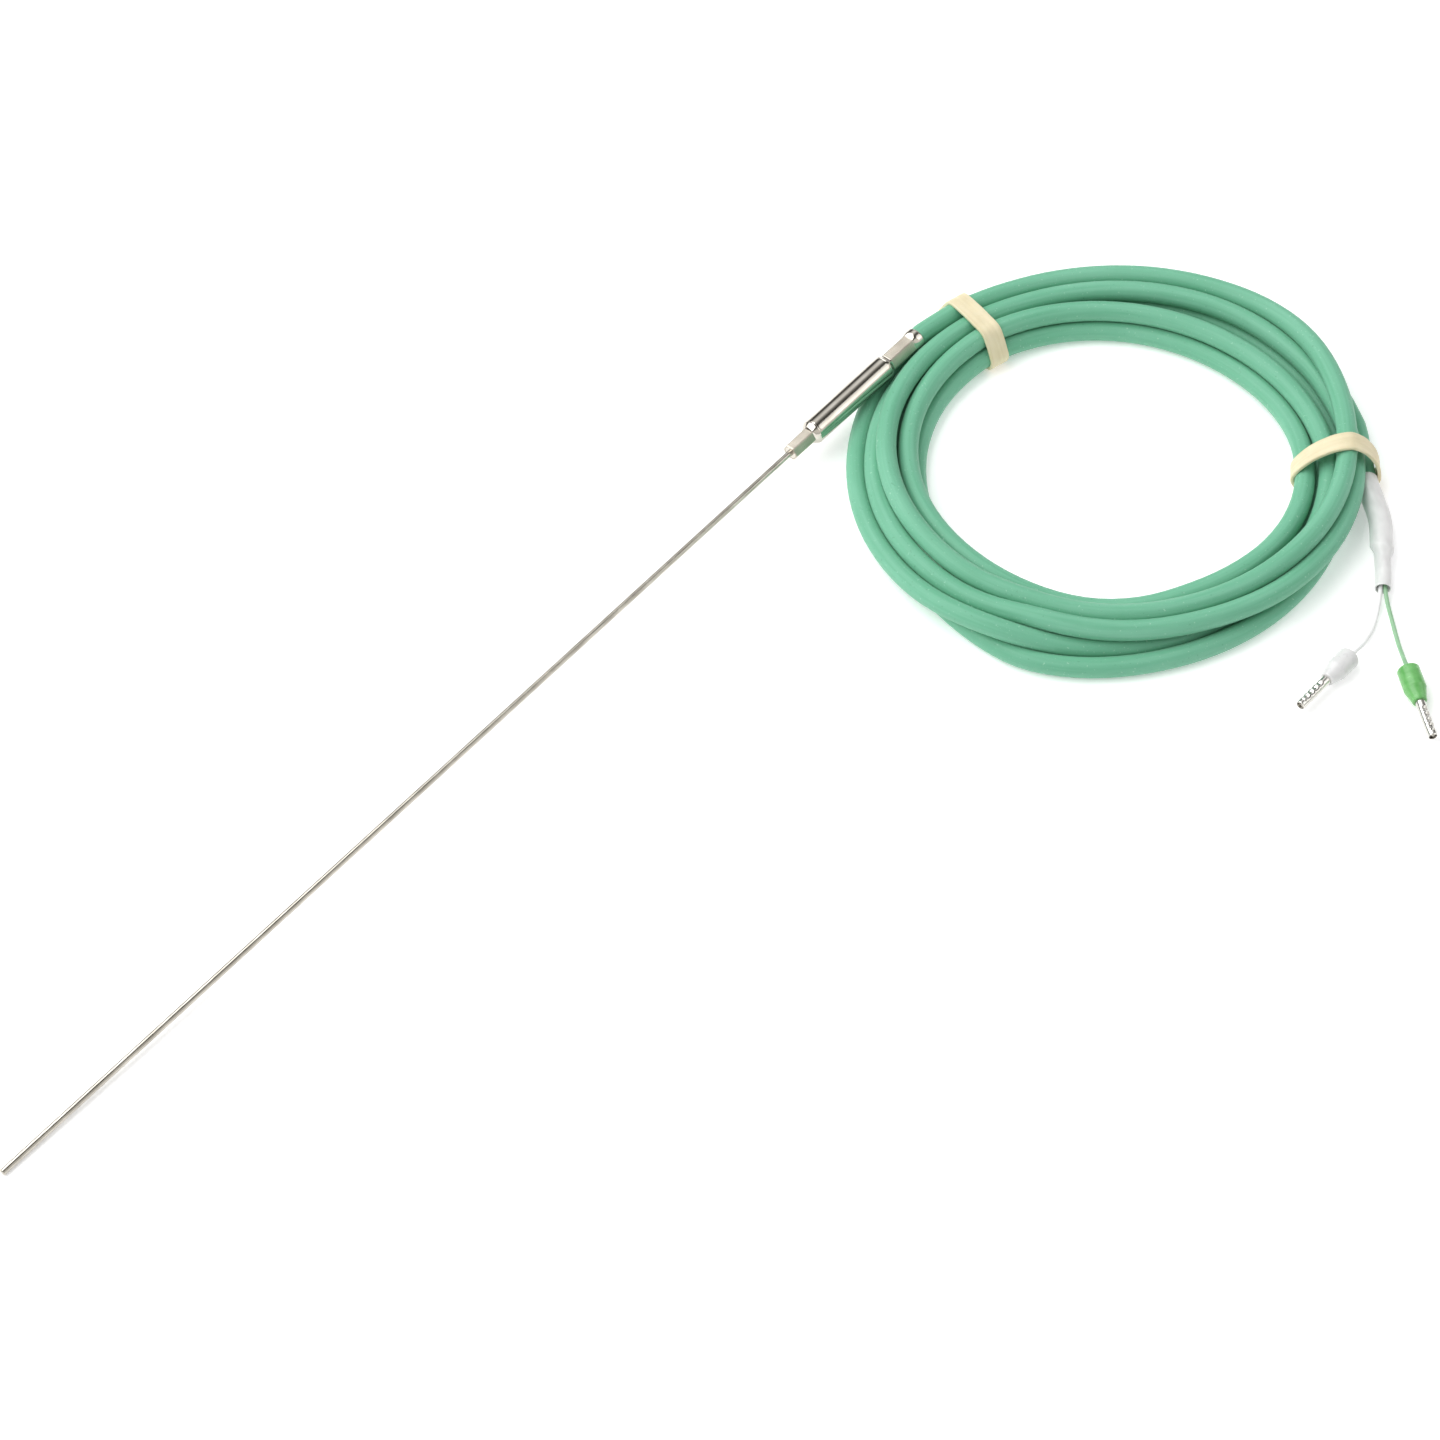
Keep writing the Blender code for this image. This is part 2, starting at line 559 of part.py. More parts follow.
def build_splices(axis):
    """The two crimped joints between thermoelements and cable conductors, each in its tube."""
    jacket_start = body_end + SHOULDER_LENGTH * 0.4
    core_end = mouth_start - 0.4 * MM
    looks = ((1, "positive", POSITIVE_ALLOY, CORE_GREEN), (-1, "negative", NEGATIVE_ALLOY, PLASTIC_WHITE))
    for side, name, alloy, colour in looks:
        tube = turned(name + "_splice",
                      [(splice_start, conductor_radius + SLIDE), (splice_start, splice_radius),
                       (splice_end, splice_radius), (splice_end, conductor_radius + SLIDE)],
                      SMALL_SIDES, axis, alloy)
        tube.location = (0.0, side * core_offset_in_splice, 0.0)
        cover = turned(name + "_splice_tube",
                       [(splice_tube_start, splice_radius + SLIDE),
                        (splice_tube_start, splice_tube_radius),
                        (splice_tube_end, splice_tube_radius),
                        (splice_tube_end, splice_radius + SLIDE)],
                       SMALL_SIDES, axis, PLASTIC_WHITE)
        cover.location = (0.0, side * core_offset_in_splice, 0.0)

        wide = side * core_offset_in_splice
        close = side * core_offset_in_jacket
        bend_start = splice_tube_end + POTTING_PAST_SPLICES + 0.5 * MM
        path = [Vector((splice_start + SPLICE_LENGTH * 0.55, wide, 0.0)),
                Vector((splice_tube_end + REST_GAP, wide, 0.0)), Vector((bend_start, wide, 0.0)),
                Vector((bend_start + 1.5 * MM, wide * 0.94 + close * 0.06, 0.0)),
                Vector((jacket_start - 2.0 * MM, wide * 0.1 + close * 0.9, 0.0)),
                Vector((jacket_start - 0.5 * MM, close, 0.0)), Vector((core_end, close, 0.0))]
        cord(name + "_conductor", path, CONDUCTOR_DIAMETER, axis, alloy)
        covered = path[1:]
        lofted_tube(name + "_core_in_sleeve", covered, [core_radius] * len(covered),
                    [conductor_radius + SLIDE] * len(covered), SMALL_SIDES, axis, colour)

    squeezed = crimp_bore - SLIDE
    jacket_end = sleeve_end - MOUTH_LENGTH * 0.6 + BUTT
    jacket = turned("cable_end_in_sleeve",
                    [(jacket_start, 0.0), (jacket_start, squeezed), (mouth_start - BUTT, squeezed),
                     (jacket_end, cable_radius), (jacket_end + 0.2 * MM, cable_radius),
                     (jacket_end + 0.2 * MM, 0.0)],
                    TUBE_SIDES, axis, CABLE_GREEN, hollow=False)
    for side, name in ((1, "positive"), (-1, "negative")):
        cut(jacket, rod_cutter(name + "_core_bore_cut", core_radius + SLIDE, jacket_start - 1.0 * MM,
                               core_end + REST_GAP, SMALL_SIDES, axis, side * core_offset_in_jacket))
    return jacket_end + 0.2 * MM


# ---- Coil of cable and the bands round it ------------------------------------------------------

def build_coil(coil, lead_start):
    """The coil's outer shape, the strand that enters it and the strand that leaves it."""
    ring = turned("cable_coil",
                  [(0.0, COIL_INNER_RADIUS + COIL_FOOT), (0.0, COIL_OUTER_RADIUS - COIL_FOOT),
                   (COIL_FOOT, COIL_OUTER_RADIUS), (COIL_HEIGHT - COIL_EDGE, COIL_OUTER_RADIUS),
                   (COIL_HEIGHT, COIL_OUTER_RADIUS - COIL_EDGE),
                   (COIL_HEIGHT, COIL_INNER_RADIUS + COIL_EDGE),
                   (COIL_HEIGHT - COIL_EDGE, COIL_INNER_RADIUS), (COIL_FOOT, COIL_INNER_RADIUS)],
                  COIL_STEPS, coil, CABLE_GREEN, axis="Z")

    widest = max(mouth_diameter, SLEEVE_DIAMETER) / 2
    body_offset = exit_radius - SLEEVE_DIAMETER / 2
    beside = math.sqrt(max(COIL_OUTER_RADIUS ** 2 - body_offset ** 2, 0.0))
    floor = min(mouth_height - mouth_diameter / 2,
                mouth_height - beside * math.tan(probe_rise) - SLEEVE_DIAMETER / 2) - REST_GAP
    channel_top = COIL_HEIGHT + 2 * MM
    channel_outer = COIL_OUTER_RADIUS + 3 * MM
    beside_angle = math.atan2(beside, body_offset) + math.radians(5.0)
    cut(ring, coil_sector("sleeve_channel_cut", -beside_angle, LEAD_END_ANGLE,
                          exit_radius - widest - REST_GAP, channel_outer, floor, channel_top,
                          coil))
    tail_channel_start = TAIL_START_ANGLE - REST_GAP / tail_radius
    cut(ring, coil_sector("tail_channel_cut", tail_channel_start, CHANNEL_END_ANGLE,
                          tail_radius - shrink_radius - REST_GAP, channel_outer, -1 * MM,
                          tail_height + shrink_radius + REST_GAP, coil))

    spacing = 2 * CABLE_DIAMETER
    rise = Vector((math.cos(probe_rise), 0.0, math.sin(probe_rise)))
    mouth = Vector((-COIL_PAST_MOUTH, exit_radius, mouth_height))
    start = mouth - rise * (sleeve_end - lead_start - REST_GAP)
    lead_end = LEAD_END_ANGLE - REST_GAP / exit_radius
    lead = [start, mouth]
    arc_steps = 5
    for step in range(1, arc_steps + 1):
        lead.append(clock_point(lead_end * step / arc_steps, exit_radius, mouth_height))
    cord("cable_lead", lead, CABLE_DIAMETER, coil, CABLE_GREEN, roundness=4)

    tail = []
    arc_steps = 4
    for step in range(arc_steps + 1):
        angle = TAIL_START_ANGLE + (TAIL_LEAVES_ANGLE - TAIL_START_ANGLE) * step / arc_steps
        tail.append(clock_point(angle, tail_radius, tail_height))
    lies = shrink_radius + BAND_LIFT
    tail += [past_coil(-6.1, -5.2, tail_height - 0.1 * MM),
             past_coil(-12.0, -12.7, (tail_height + lies) / 2),
             past_coil(-19.4, -18.7, lies),
             past_coil(-27.7, -24.8, neck_radius + 2 * BAND_LIFT)]
    return smooth_route(tail, 0.5 * MM), spacing


def build_bands(coil):
    """Two rubber bands round the coil's section, and the grooves they press in its underside."""
    low = COIL_INNER_RADIUS - REST_GAP
    first_high = max(COIL_OUTER_RADIUS, exit_radius + cable_radius) + REST_GAP
    second_high = max(COIL_OUTER_RADIUS, tail_radius + shrink_radius) + 2 * REST_GAP
    top = max(COIL_HEIGHT, mouth_height + cable_radius) + REST_GAP
    ring = bpy.data.objects["cable_coil"]
    bands = (("rubber_band_1", FIRST_BAND_ANGLE, first_high),
             ("rubber_band_2", SECOND_BAND_ANGLE, second_high))
    for name, angle, high in bands:
        grow = BAND_THICKNESS
        inside = rounded_outline(low, high, band_inside_floor, top, BAND_CORNER)
        outside = rounded_outline(low - grow, high + grow, band_inside_floor - grow, top + grow,
                                  BAND_CORNER + grow)
        band_loop(name, angle, inside, outside, BAND_WIDTH, coil, RUBBER_CREAM)
        grow = BAND_THICKNESS + REST_GAP
        shrunk = rounded_outline(low + REST_GAP, high - REST_GAP, band_inside_floor + REST_GAP,
                                 top - REST_GAP, BAND_CORNER - REST_GAP)
        grown = rounded_outline(low - grow, high + grow, band_inside_floor - grow, top + grow,
                                BAND_CORNER + grow)
        groove = band_loop(name + "_groove_cut", angle, shrunk, grown, BAND_WIDTH + 2 * REST_GAP, coil,
                           RUBBER_CREAM)
        cut(ring, as_cutter(groove))


# ---- Free end of the cable ---------------------------------------------------------------------

def build_tail(coil, route, spacing):
    """The last of the cable, its heat-shrink sleeve, the two cores and their end sleeves."""
    lengths = [0.0]
    for first, second in zip(route, route[1:]):
        lengths.append(lengths[-1] + (second - first).length)
    leaves = clock_point(TAIL_LEAVES_ANGLE, tail_radius, tail_height)
    shrink_first = min(range(len(route)), key=lambda index: (route[index] - leaves).length) + 3
    jacket_last = shrink_first
    while lengths[jacket_last] - lengths[shrink_first] < SHRINK_JACKET_LENGTH:
        jacket_last += 1
    jacket = smooth_route(route[:jacket_last + 1:4], spacing / 4)
    cord("cable_tail", jacket, CABLE_DIAMETER, coil, CABLE_GREEN, roundness=4)

    covered = route[shrink_first::4]
    outer = []
    inner = []
    jacket_end = lengths[jacket_last]
    for index in range(shrink_first, len(route), 4):
        past = (lengths[index] - jacket_end - 2 * REST_GAP) / (3.0 * MM)
        share = min(max(past, 0.0), 1.0)
        outer.append(shrink_radius + (neck_radius - shrink_radius) * share)
        inner.append(outer[-1] - SHRINK_WALL)
    lofted_tube("heat_shrink", covered, outer, inner, TUBE_SIDES, coil, PLASTIC_WHITE)

    end = route[-1]
    heading = (route[-1] - route[-3]).normalized()
    across = Vector((heading.y, -heading.x, 0.0)).normalized()
    half = core_radius + SLIDE
    ends = (("positive", -1, COLLAR_GREEN, CORE_GREEN, (-43.7, -42.6), math.radians(-128.7),
             ((-30.0, -27.9), (-33.7, -31.9), (-38.1, -36.6))),
            ("negative", 1, PLASTIC_WHITE, PLASTIC_WHITE, (-48.5, -30.7), math.radians(179.0),
             ((-32.4, -26.9), (-37.5, -29.1), (-43.0, -30.3))))
    collar_radius = COLLAR_DIAMETER / 2
    collar_height = collar_radius + BAND_LIFT / 2
    for name, side, colour, core_colour, collar_spot, turn, middle in ends:
        collar_place = past_coil(*collar_spot, collar_height)
        direction = Vector((math.cos(turn), math.sin(turn), 0.0))
        inside = jacket[-1] + (jacket[-1] - jacket[-3]).normalized() * REST_GAP
        way = [inside + across * side * half,
               route[(jacket_last + len(route)) // 2] + across * side * half,
               end + across * side * half]
        for number, spot in enumerate(middle):
            sag = core_radius + BAND_LIFT + (0.5 - 0.35 * number) * MM
            way.append(past_coil(*spot, max(sag, core_radius + BAND_LIFT)))
        way.append(collar_place - direction * 1.5 * MM)
        way.append(collar_place + direction * 0.5 * MM)
        way.append(collar_place + direction * 3.0 * MM)
        cord(name + "_core", smooth_route(way, 2.5 * CORE_DIAMETER), CORE_DIAMETER, coil, core_colour)

        holder = frame_empty(name + "_ferrule_axis", collar_place, (0.0, 0.0, turn))
        holder.parent = coil
        build_ferrule(name, holder, colour)


def build_ferrule(name, holder, colour):
    """An insulated end sleeve: a plastic collar, a tinned pin and the strands inside it."""
    collar_radius = COLLAR_DIAMETER / 2
    pin_radius = PIN_DIAMETER / 2
    pin_hole = pin_radius + SLIDE
    edge = 0.5 * MM
    cone_start = COLLAR_LENGTH - COLLAR_CONE_LENGTH
    pin_start = COLLAR_LENGTH - PIN_IN_COLLAR
    entry_radius = core_radius + COLLAR_ENTRY_CLEARANCE
    turned(name + "_collar",
           [(0.0, entry_radius), (0.0, collar_radius - 1.6 * edge),
            (0.4 * edge, collar_radius - 0.6 * edge),
            (1.6 * edge, collar_radius), (cone_start, collar_radius),
            (COLLAR_LENGTH - edge, pin_hole + 1.5 * edge), (COLLAR_LENGTH, pin_hole + edge),
            (COLLAR_LENGTH, pin_hole), (pin_start - 2 * BUTT, pin_hole),
            (pin_start - 2 * BUTT, entry_radius)],
           TUBE_SIDES, holder, colour)
    pin_end = COLLAR_LENGTH + PIN_LENGTH
    turned(name + "_pin",
           [(pin_start, pin_radius - PIN_WALL), (pin_start, pin_radius), (pin_end, pin_radius),
            (pin_end, pin_radius - PIN_WALL)],
           TUBE_SIDES, holder, TINNED_COPPER)
    strand_radius = pin_radius - PIN_WALL - SLIDE
    strands_end = pin_end - 0.3 * MM
    turned(name + "_strands",
           [(pin_start + BUTT, 0.0), (pin_start + BUTT, strand_radius), (strands_end, strand_radius),
            (strands_end, 0.0)],
           SMALL_SIDES, holder, TINNED_COPPER, hollow=False)


def main():
    """Build every piece in its frame."""
    clear_scene()
    probe = frame_empty("probe_axis", (-mouth_x, 0.0, tip_height), (0.0, -probe_rise, 0.0))
    coil = frame_empty("coil_frame", coil_centre, (0.0, 0.0, 0.0))
    build_sheath(probe)
    build_sleeve(probe)
    lead_start = build_splices(probe)
    route, spacing = build_coil(coil, lead_start)
    build_bands(coil)
    build_tail(coil, route, spacing)


main()
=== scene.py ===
# %% [markdown]
# # A thermocouple and its coil of green cable
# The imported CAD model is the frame: it says where every piece is and how large it is. This file
# gives each piece its finished surface. It works in metres, +Z up, with the table at z = 0.

# %% The frame
import math

import bmesh
import bpy
import numpy as np
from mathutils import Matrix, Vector, noise


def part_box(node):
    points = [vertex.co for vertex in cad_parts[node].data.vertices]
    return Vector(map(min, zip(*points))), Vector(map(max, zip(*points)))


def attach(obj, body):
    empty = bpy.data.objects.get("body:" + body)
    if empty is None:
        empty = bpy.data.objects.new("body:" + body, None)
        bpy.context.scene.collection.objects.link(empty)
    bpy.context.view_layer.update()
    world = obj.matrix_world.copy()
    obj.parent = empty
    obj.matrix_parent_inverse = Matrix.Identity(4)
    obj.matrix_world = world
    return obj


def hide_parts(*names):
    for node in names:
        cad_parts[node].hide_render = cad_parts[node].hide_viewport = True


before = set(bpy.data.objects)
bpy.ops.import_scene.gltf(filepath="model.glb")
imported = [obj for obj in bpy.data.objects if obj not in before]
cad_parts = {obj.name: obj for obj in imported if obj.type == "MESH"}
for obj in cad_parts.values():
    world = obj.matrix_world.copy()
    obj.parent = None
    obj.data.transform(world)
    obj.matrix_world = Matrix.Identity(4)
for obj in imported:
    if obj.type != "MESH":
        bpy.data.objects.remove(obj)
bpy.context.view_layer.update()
MM = 0.001

# %% [markdown]
# ## Camera
# A long lens far away keeps the thin probe straight and nearly free of perspective. The camera is
# placed by an azimuth, an elevation and a distance from the point that it looks at, because those
# three are easy to check by eye. It looks down at about 52 degrees, so the coil shows as an ellipse.

# %% Camera
VIEW_AZIMUTH = math.radians(-49.39)
VIEW_ELEVATION = math.radians(52.48)
VIEW_DISTANCE = 887.6 * MM
VIEW_CENTRE = Vector((36.0 * MM, -35.0 * MM, 0.0))

view_back = Vector((math.sin(VIEW_AZIMUTH) * math.cos(VIEW_ELEVATION),
                    -math.cos(VIEW_AZIMUTH) * math.cos(VIEW_ELEVATION),
                    math.sin(VIEW_ELEVATION)))
lens = bpy.data.cameras.new("camera")
lens.lens = 100
lens.sensor_width = 36
lens.clip_start = 0.01
lens.clip_end = 20
camera = bpy.data.objects.new("camera", lens)
camera.location = VIEW_CENTRE + view_back * VIEW_DISTANCE
camera.rotation_mode = "QUATERNION"
camera.rotation_quaternion = (-view_back).to_track_quat("-Z", "Y")
bpy.context.scene.collection.objects.link(camera)
bpy.context.scene.camera = camera
print("camera at, mm:", [round(v / MM, 1) for v in camera.location])

# %% [markdown]
# ## Two frames of reference
# The probe is straight, so places on it are distances from its tip along its axis. The coil is
# round, so places in it are a clock angle, clockwise from where the cable leaves the sleeve, and a
# radius. Both are worked out from boxes of the CAD nodes.

# %% Probe axis and coil centre
SHEATH_DIAMETER = 1.5 * MM
SHEATH_FREE_LENGTH = 250.0 * MM
SLEEVE_LENGTH = 46.4 * MM
COIL_EXIT_RADIUS = 57.0 * MM
COIL_PAST_MOUTH = 1.2 * MM
MOUTH_HEIGHT = 8.0 * MM
CABLE_DIAMETER = 4.8 * MM

coil_low, coil_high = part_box("cable_coil")
coil_centre = Vector(((coil_low.x + coil_high.x) / 2, (coil_low.y + coil_high.y) / 2, 0.0))
sleeve_mouth = coil_centre + Vector((-COIL_PAST_MOUTH, COIL_EXIT_RADIUS, MOUTH_HEIGHT))
probe_length = SHEATH_FREE_LENGTH + SLEEVE_LENGTH
tip_height = SHEATH_DIAMETER / 2
probe_rise = math.asin((sleeve_mouth.z - tip_height) / probe_length)
probe_along = Vector((math.cos(probe_rise), 0.0, math.sin(probe_rise)))
probe_up = Vector((-math.sin(probe_rise), 0.0, math.cos(probe_rise)))
probe_tip = sleeve_mouth - probe_along * probe_length


def clock_point(degrees, radius, height):
    """A point of the coil: degrees clockwise from the sleeve's mouth, radius and height."""
    angle = math.radians(degrees)
    return coil_centre + Vector((radius * math.sin(angle), radius * math.cos(angle), height))


print("tip at, mm:", [round(v / MM, 2) for v in probe_tip])
print("coil centre, mm:", [round(v / MM, 2) for v in coil_centre])

# %% [markdown]
# ## How the cable lies
# Two metres of cable make a little over six turns. Nobody winds such a coil neatly: each turn has
# its own lane, and lanes cross. A spiral formula would look machine-made, so each turn gets a short
# list of lanes, one for every 30 degrees, as (radius, height) in millimetres. A loop then lets the
# turns settle: each is smoothed by its own stiffness, pushed off the others it would cut through,
# and held up by the table, the sleeve or a band underneath.

# %% Lanes of the turns
LOW = 2.4
TOP = 6.5
LANE_STEP = 30
turns = [
    [(57.0, 8.0), (54.6, 7.0), (58.2, 6.8), (60.4, 7.6), (55.2, 10.2), (53.8, 11.4),
     (50.2, 8.6), (46.7, 6.8), (48.4, 6.5), (52.4, 8.6), (52.9, 9.8), (52.3, 9.4)],
    [(51.4, 6.8), (51.0, 6.5), (52.8, 6.4), (56.0, 5.3), (57.4, 7.0), (56.6, 7.6),
     (54.0, 6.6), (50.7, 6.4), (52.2, 6.4), (56.6, 6.4), (55.4, 5.8), (54.4, 4.6)],
    [(53.5, LOW), (53.1, LOW), (53.3, LOW), (54.5, LOW), (54.6, LOW), (53.4, LOW),
     (53.0, LOW), (54.0, LOW), (59.8, LOW), (59.0, LOW), (52.8, LOW), (49.5, LOW)],
    [(49.0, LOW), (48.3, LOW), (48.6, LOW), (50.0, LOW), (49.8, LOW), (48.5, LOW),
     (45.4, LOW), (46.5, LOW), (48.8, LOW), (48.0, LOW), (45.5, LOW), (44.4, LOW)],
    [(44.6, LOW), (43.9, LOW), (43.9, LOW), (43.6, LOW), (44.8, 3.4), (46.0, 7.0),
     (44.8, 6.2), (44.2, 3.5), (45.2, 3.6), (46.4, 6.1), (46.9, TOP), (47.1, TOP)],
    [(46.7, TOP), (46.3, TOP), (45.7, 6.2), (46.4, 6.2), (48.2, TOP), (50.8, 7.4),
     (49.8, 4.2), (50.6, LOW), (55.2, LOW), (59.0, 5.5), (59.0, 3.6), (57.8, LOW)],
    [(58.3, LOW), (58.4, LOW), (58.8, LOW), (59.4, 2.8), (59.2, 4.03), (59.2, 4.03)],
]
lanes = np.array([lane for turn in turns for lane in turn]) * MM
lane_angles = np.arange(len(lanes)) * LANE_STEP

# %% Letting the turns settle
ANGLE_STEP = 5
TAIL_LEAVES = 138
BAND_SPOTS = (13.4, 143.3)               # clock angles at which the bands lift the strands
BAND_SPREAD = 13                         # degrees to each side over which a band lifts the strands
BAND_THICKNESS = 0.9 * MM
BAND_CLEARANCE = 0.15 * MM
SLEEVE_KEPT_CLEAR = 3.05 * MM            # of the sleeve's axis, for its body's radius
steps_per_turn = 360 // ANGLE_STEP
cable_radius = CABLE_DIAMETER / 2
strand_angles = np.arange(0, 6 * 360 + TAIL_LEAVES + 1, ANGLE_STEP)
strand_radius = np.interp(strand_angles, lane_angles, lanes[:, 0])
strand_height = np.interp(strand_angles, lane_angles, lanes[:, 1])


def table_under(angles):
    """The height of what the lowest strands lie on: the table, or a band that runs under them."""
    height = np.zeros(len(angles))
    for spot in BAND_SPOTS:
        away = np.abs((angles - spot + 180) % 360 - 180)
        height += (BAND_THICKNESS + BAND_CLEARANCE) * np.exp(-(away / BAND_SPREAD) ** 2)
    return height


def settle(radius, height, rounds=500):
    """Smooth the strands and push them apart until none cuts through another."""
    home = radius.copy(), height.copy()
    free = (strand_angles >= 8) & (strand_angles <= 6 * 360 + 112)
    floor = table_under(strand_angles) + cable_radius
    beside_sleeve = np.radians((strand_angles % 360) - 360)
    near_sleeve = (beside_sleeve > -0.65) & free
    sleeve_radius = COIL_EXIT_RADIUS / np.cos(beside_sleeve)
    sleeve_height = sleeve_mouth.z + COIL_EXIT_RADIUS * np.tan(beside_sleeve) * math.tan(probe_rise)
    sleeve_gap = cable_radius + SLEEVE_KEPT_CLEAR
    for settling in range(rounds):
        for values, start, pull in ((radius, home[0], 0.06), (height, home[1], 0.04)):
            smooth = values.copy()
            smooth[2:-2] = (values[:-4] + 2 * values[1:-3] + 2 * values[3:-1] + values[4:]) / 6
            values[free] += 0.5 * (smooth - values)[free] + pull * (start - values)[free]
        for push in range(3):
            for passes in range(1, 7):
                gap = steps_per_turn * passes
                side = radius[gap:] - radius[:-gap]
                rise = height[gap:] - height[:-gap]
                apart = np.hypot(side, rise)
                short = np.maximum(CABLE_DIAMETER * 1.01 - apart, 0) / np.maximum(apart, 1e-6) * 0.5
                radius[gap:] += side * short * free[gap:]
                height[gap:] += rise * short * free[gap:]
                radius[:-gap] -= side * short * free[:-gap]
                height[:-gap] -= rise * short * free[:-gap]
            side = radius - sleeve_radius
            rise = height - sleeve_height
            apart = np.hypot(side, rise)
            short = np.maximum(sleeve_gap - apart, 0) / np.maximum(apart, 1e-6) * near_sleeve
            radius += side * short
            height += rise * short
            height[free] = np.maximum(height, floor)[free]
    return radius, height


strand_radius, strand_height = settle(strand_radius, strand_height)
closest = min(float(np.hypot(strand_radius[g:] - strand_radius[:-g],
                             strand_height[g:] - strand_height[:-g]).min())
              for g in range(steps_per_turn, 6 * steps_per_turn + 1, steps_per_turn))
print("closest strands, mm between centres:", round(closest / MM, 2))

# %% [markdown]
# ## The cable's line
# The line starts just inside the sleeve's mouth, runs through the settled turns and ends inside the
# heat-shrink sleeve. A smooth curve through the points, read at an even spacing, keeps the outline
# free of corners.

# %% One smooth line
def smooth_route(points, spacing):
    """Points at an even spacing on a smooth curve through the route's points."""
    dense = []
    last = len(points) - 1
    for index in range(last):
        before = points[max(index - 1, 0)]
        start = points[index]
        end = points[index + 1]
        after = points[min(index + 2, last)]
        for step in range(12):
            u = step / 12
            dense.append(0.5 * ((2 * start) + (end - before) * u
                                + (2 * before - 5 * start + 4 * end - after) * u ** 2
                                + (3 * start - before - 3 * end + after) * u ** 3))
    dense.append(points[last])
    lengths = np.cumsum([0.0] + [(b - a).length for a, b in zip(dense, dense[1:])])
    count = max(2, round(lengths[-1] / spacing))
    table = np.array([tuple(point) for point in dense])
    wanted = np.linspace(0, lengths[-1], count + 1)
    columns = [np.interp(wanted, lengths, table[:, axis]) for axis in range(3)]
    return [Vector(point) for point in zip(*columns)]


def route_length(points):
    """The length of a line of points."""
    return sum((b - a).length for a, b in zip(points, points[1:]))


def coil_points(places):
    """World points from given places in millimetres from the coil's centre."""
    return [coil_centre + Vector(place) * MM for place in places]


turns_line = [clock_point(angle, radius, height)
              for angle, radius, height in zip(strand_angles, strand_radius, strand_height)]
tail_places = [(33.5, -49.2, 3.93), (27.6, -56.7, 3.4), (22.0, -61.3, 2.95)]
cable_line = smooth_route([sleeve_mouth - probe_along * 1.1 * MM] + turns_line[:-1]
                          + coil_points(tail_places), 3.2 * MM)
cable_length = route_length(cable_line)
print("cable length, m:", round(cable_length, 3), "points:", len(cable_line))

# %% [markdown]
# ## Skins
# Nearly every piece is round about a line, so one function makes a skin from a stack of rings and
# gives it a map in metres: u runs round the piece and v along it. With a map in real metres, a
# grain or a scratch in a material can be given its real width.

# %% Rings and skins
def ring(centre, along, side, radius_at, sides):
    """Points round a centre. radius_at is a number, or a function of the angle."""
    across = along.cross(side)
    points = []
    for step in range(sides):
        angle = 2 * math.pi * step / sides
        radius = radius_at(angle) if callable(radius_at) else radius_at
        points.append(centre + (side * math.cos(angle) + across * math.sin(angle)) * radius)
    return points


def new_piece(name, bm):
    """An object in the scene from a finished bmesh."""
    mesh = bpy.data.meshes.new(name)
    bm.to_mesh(mesh)
    bm.free()
    piece = bpy.data.objects.new(name, mesh)
    bpy.context.scene.collection.objects.link(piece)
    return piece


def skin(name, rings, closed=False, capped=False, sharp=35):
    """A mesh object through a stack of rings with equal point counts, with a map in metres."""
    bm = bmesh.new()
    grid = [[bm.verts.new(point) for point in points] for points in rings]
    layer = bm.loops.layers.uv.new("metres")
    sides = len(rings[0])
    along = [0.0]
    for near, far in zip(rings, rings[1:]):
        along.append(along[-1] + sum((b - a).length for a, b in zip(near, far)) / sides)
    middle = rings[len(rings) // 2]
    around = sum((a - b).length for a, b in zip(middle, middle[1:] + middle[:1])) / sides
    pairs = list(zip(range(len(rings) - 1), range(1, len(rings))))
    if closed:
        pairs.append((len(rings) - 1, 0))
        along.append(along[-1] + (rings[0][0] - rings[-1][0]).length)
    for near, far in pairs:
        v_far = along[near + 1]
        for step in range(sides):
            after = (step + 1) % sides
            face = bm.faces.new((grid[near][step], grid[near][after], grid[far][after], grid[far][step]))
            corners = ((step, along[near]), (step + 1, along[near]), (step + 1, v_far), (step, v_far))
            for loop, (u, v) in zip(face.loops, corners):
                loop[layer].uv = (u * around, v)
    if capped:
        bm.faces.new(grid[0])
        bm.faces.new(grid[-1])
    bmesh.ops.recalc_face_normals(bm, faces=bm.faces)
    for face in bm.faces:
        face.smooth = True
    piece = new_piece(name, bm)
    piece.data.set_sharp_from_angle(angle=math.radians(sharp))
    return piece


def rings_along(line, radius_at, sides):
    """Rings square to a line, carried along it without twisting. Their seam starts underneath.

    radius_at(distance, angle) gives the radius there.
    """
    side = Vector((0.0, 0.0, -1.0))
    rings = []
    distance = 0.0
    for index, point in enumerate(line):
        ahead = line[min(index + 1, len(line) - 1)]
        behind = line[max(index - 1, 0)]
        along = (ahead - behind).normalized()
        side = (side - along * side.dot(along)).normalized()
        if index:
            distance += (point - line[index - 1]).length
        here = distance
        rings.append(ring(point, along, side, lambda angle, s=here: radius_at(s, angle), sides))
    return rings


def slight_waver(place, angle, scale, amount):
    """A small smooth departure from round, in metres."""
    spot = Vector((math.cos(angle), math.sin(angle), place / scale))
    return noise.noise(spot) * amount


# %% The cable itself
cable = skin("cable", rings_along(
    cable_line, lambda s, a: cable_radius + slight_waver(s, a, 9 * MM, 0.03 * MM), 32), capped=True)
print("cable faces:", len(cable.data.polygons))
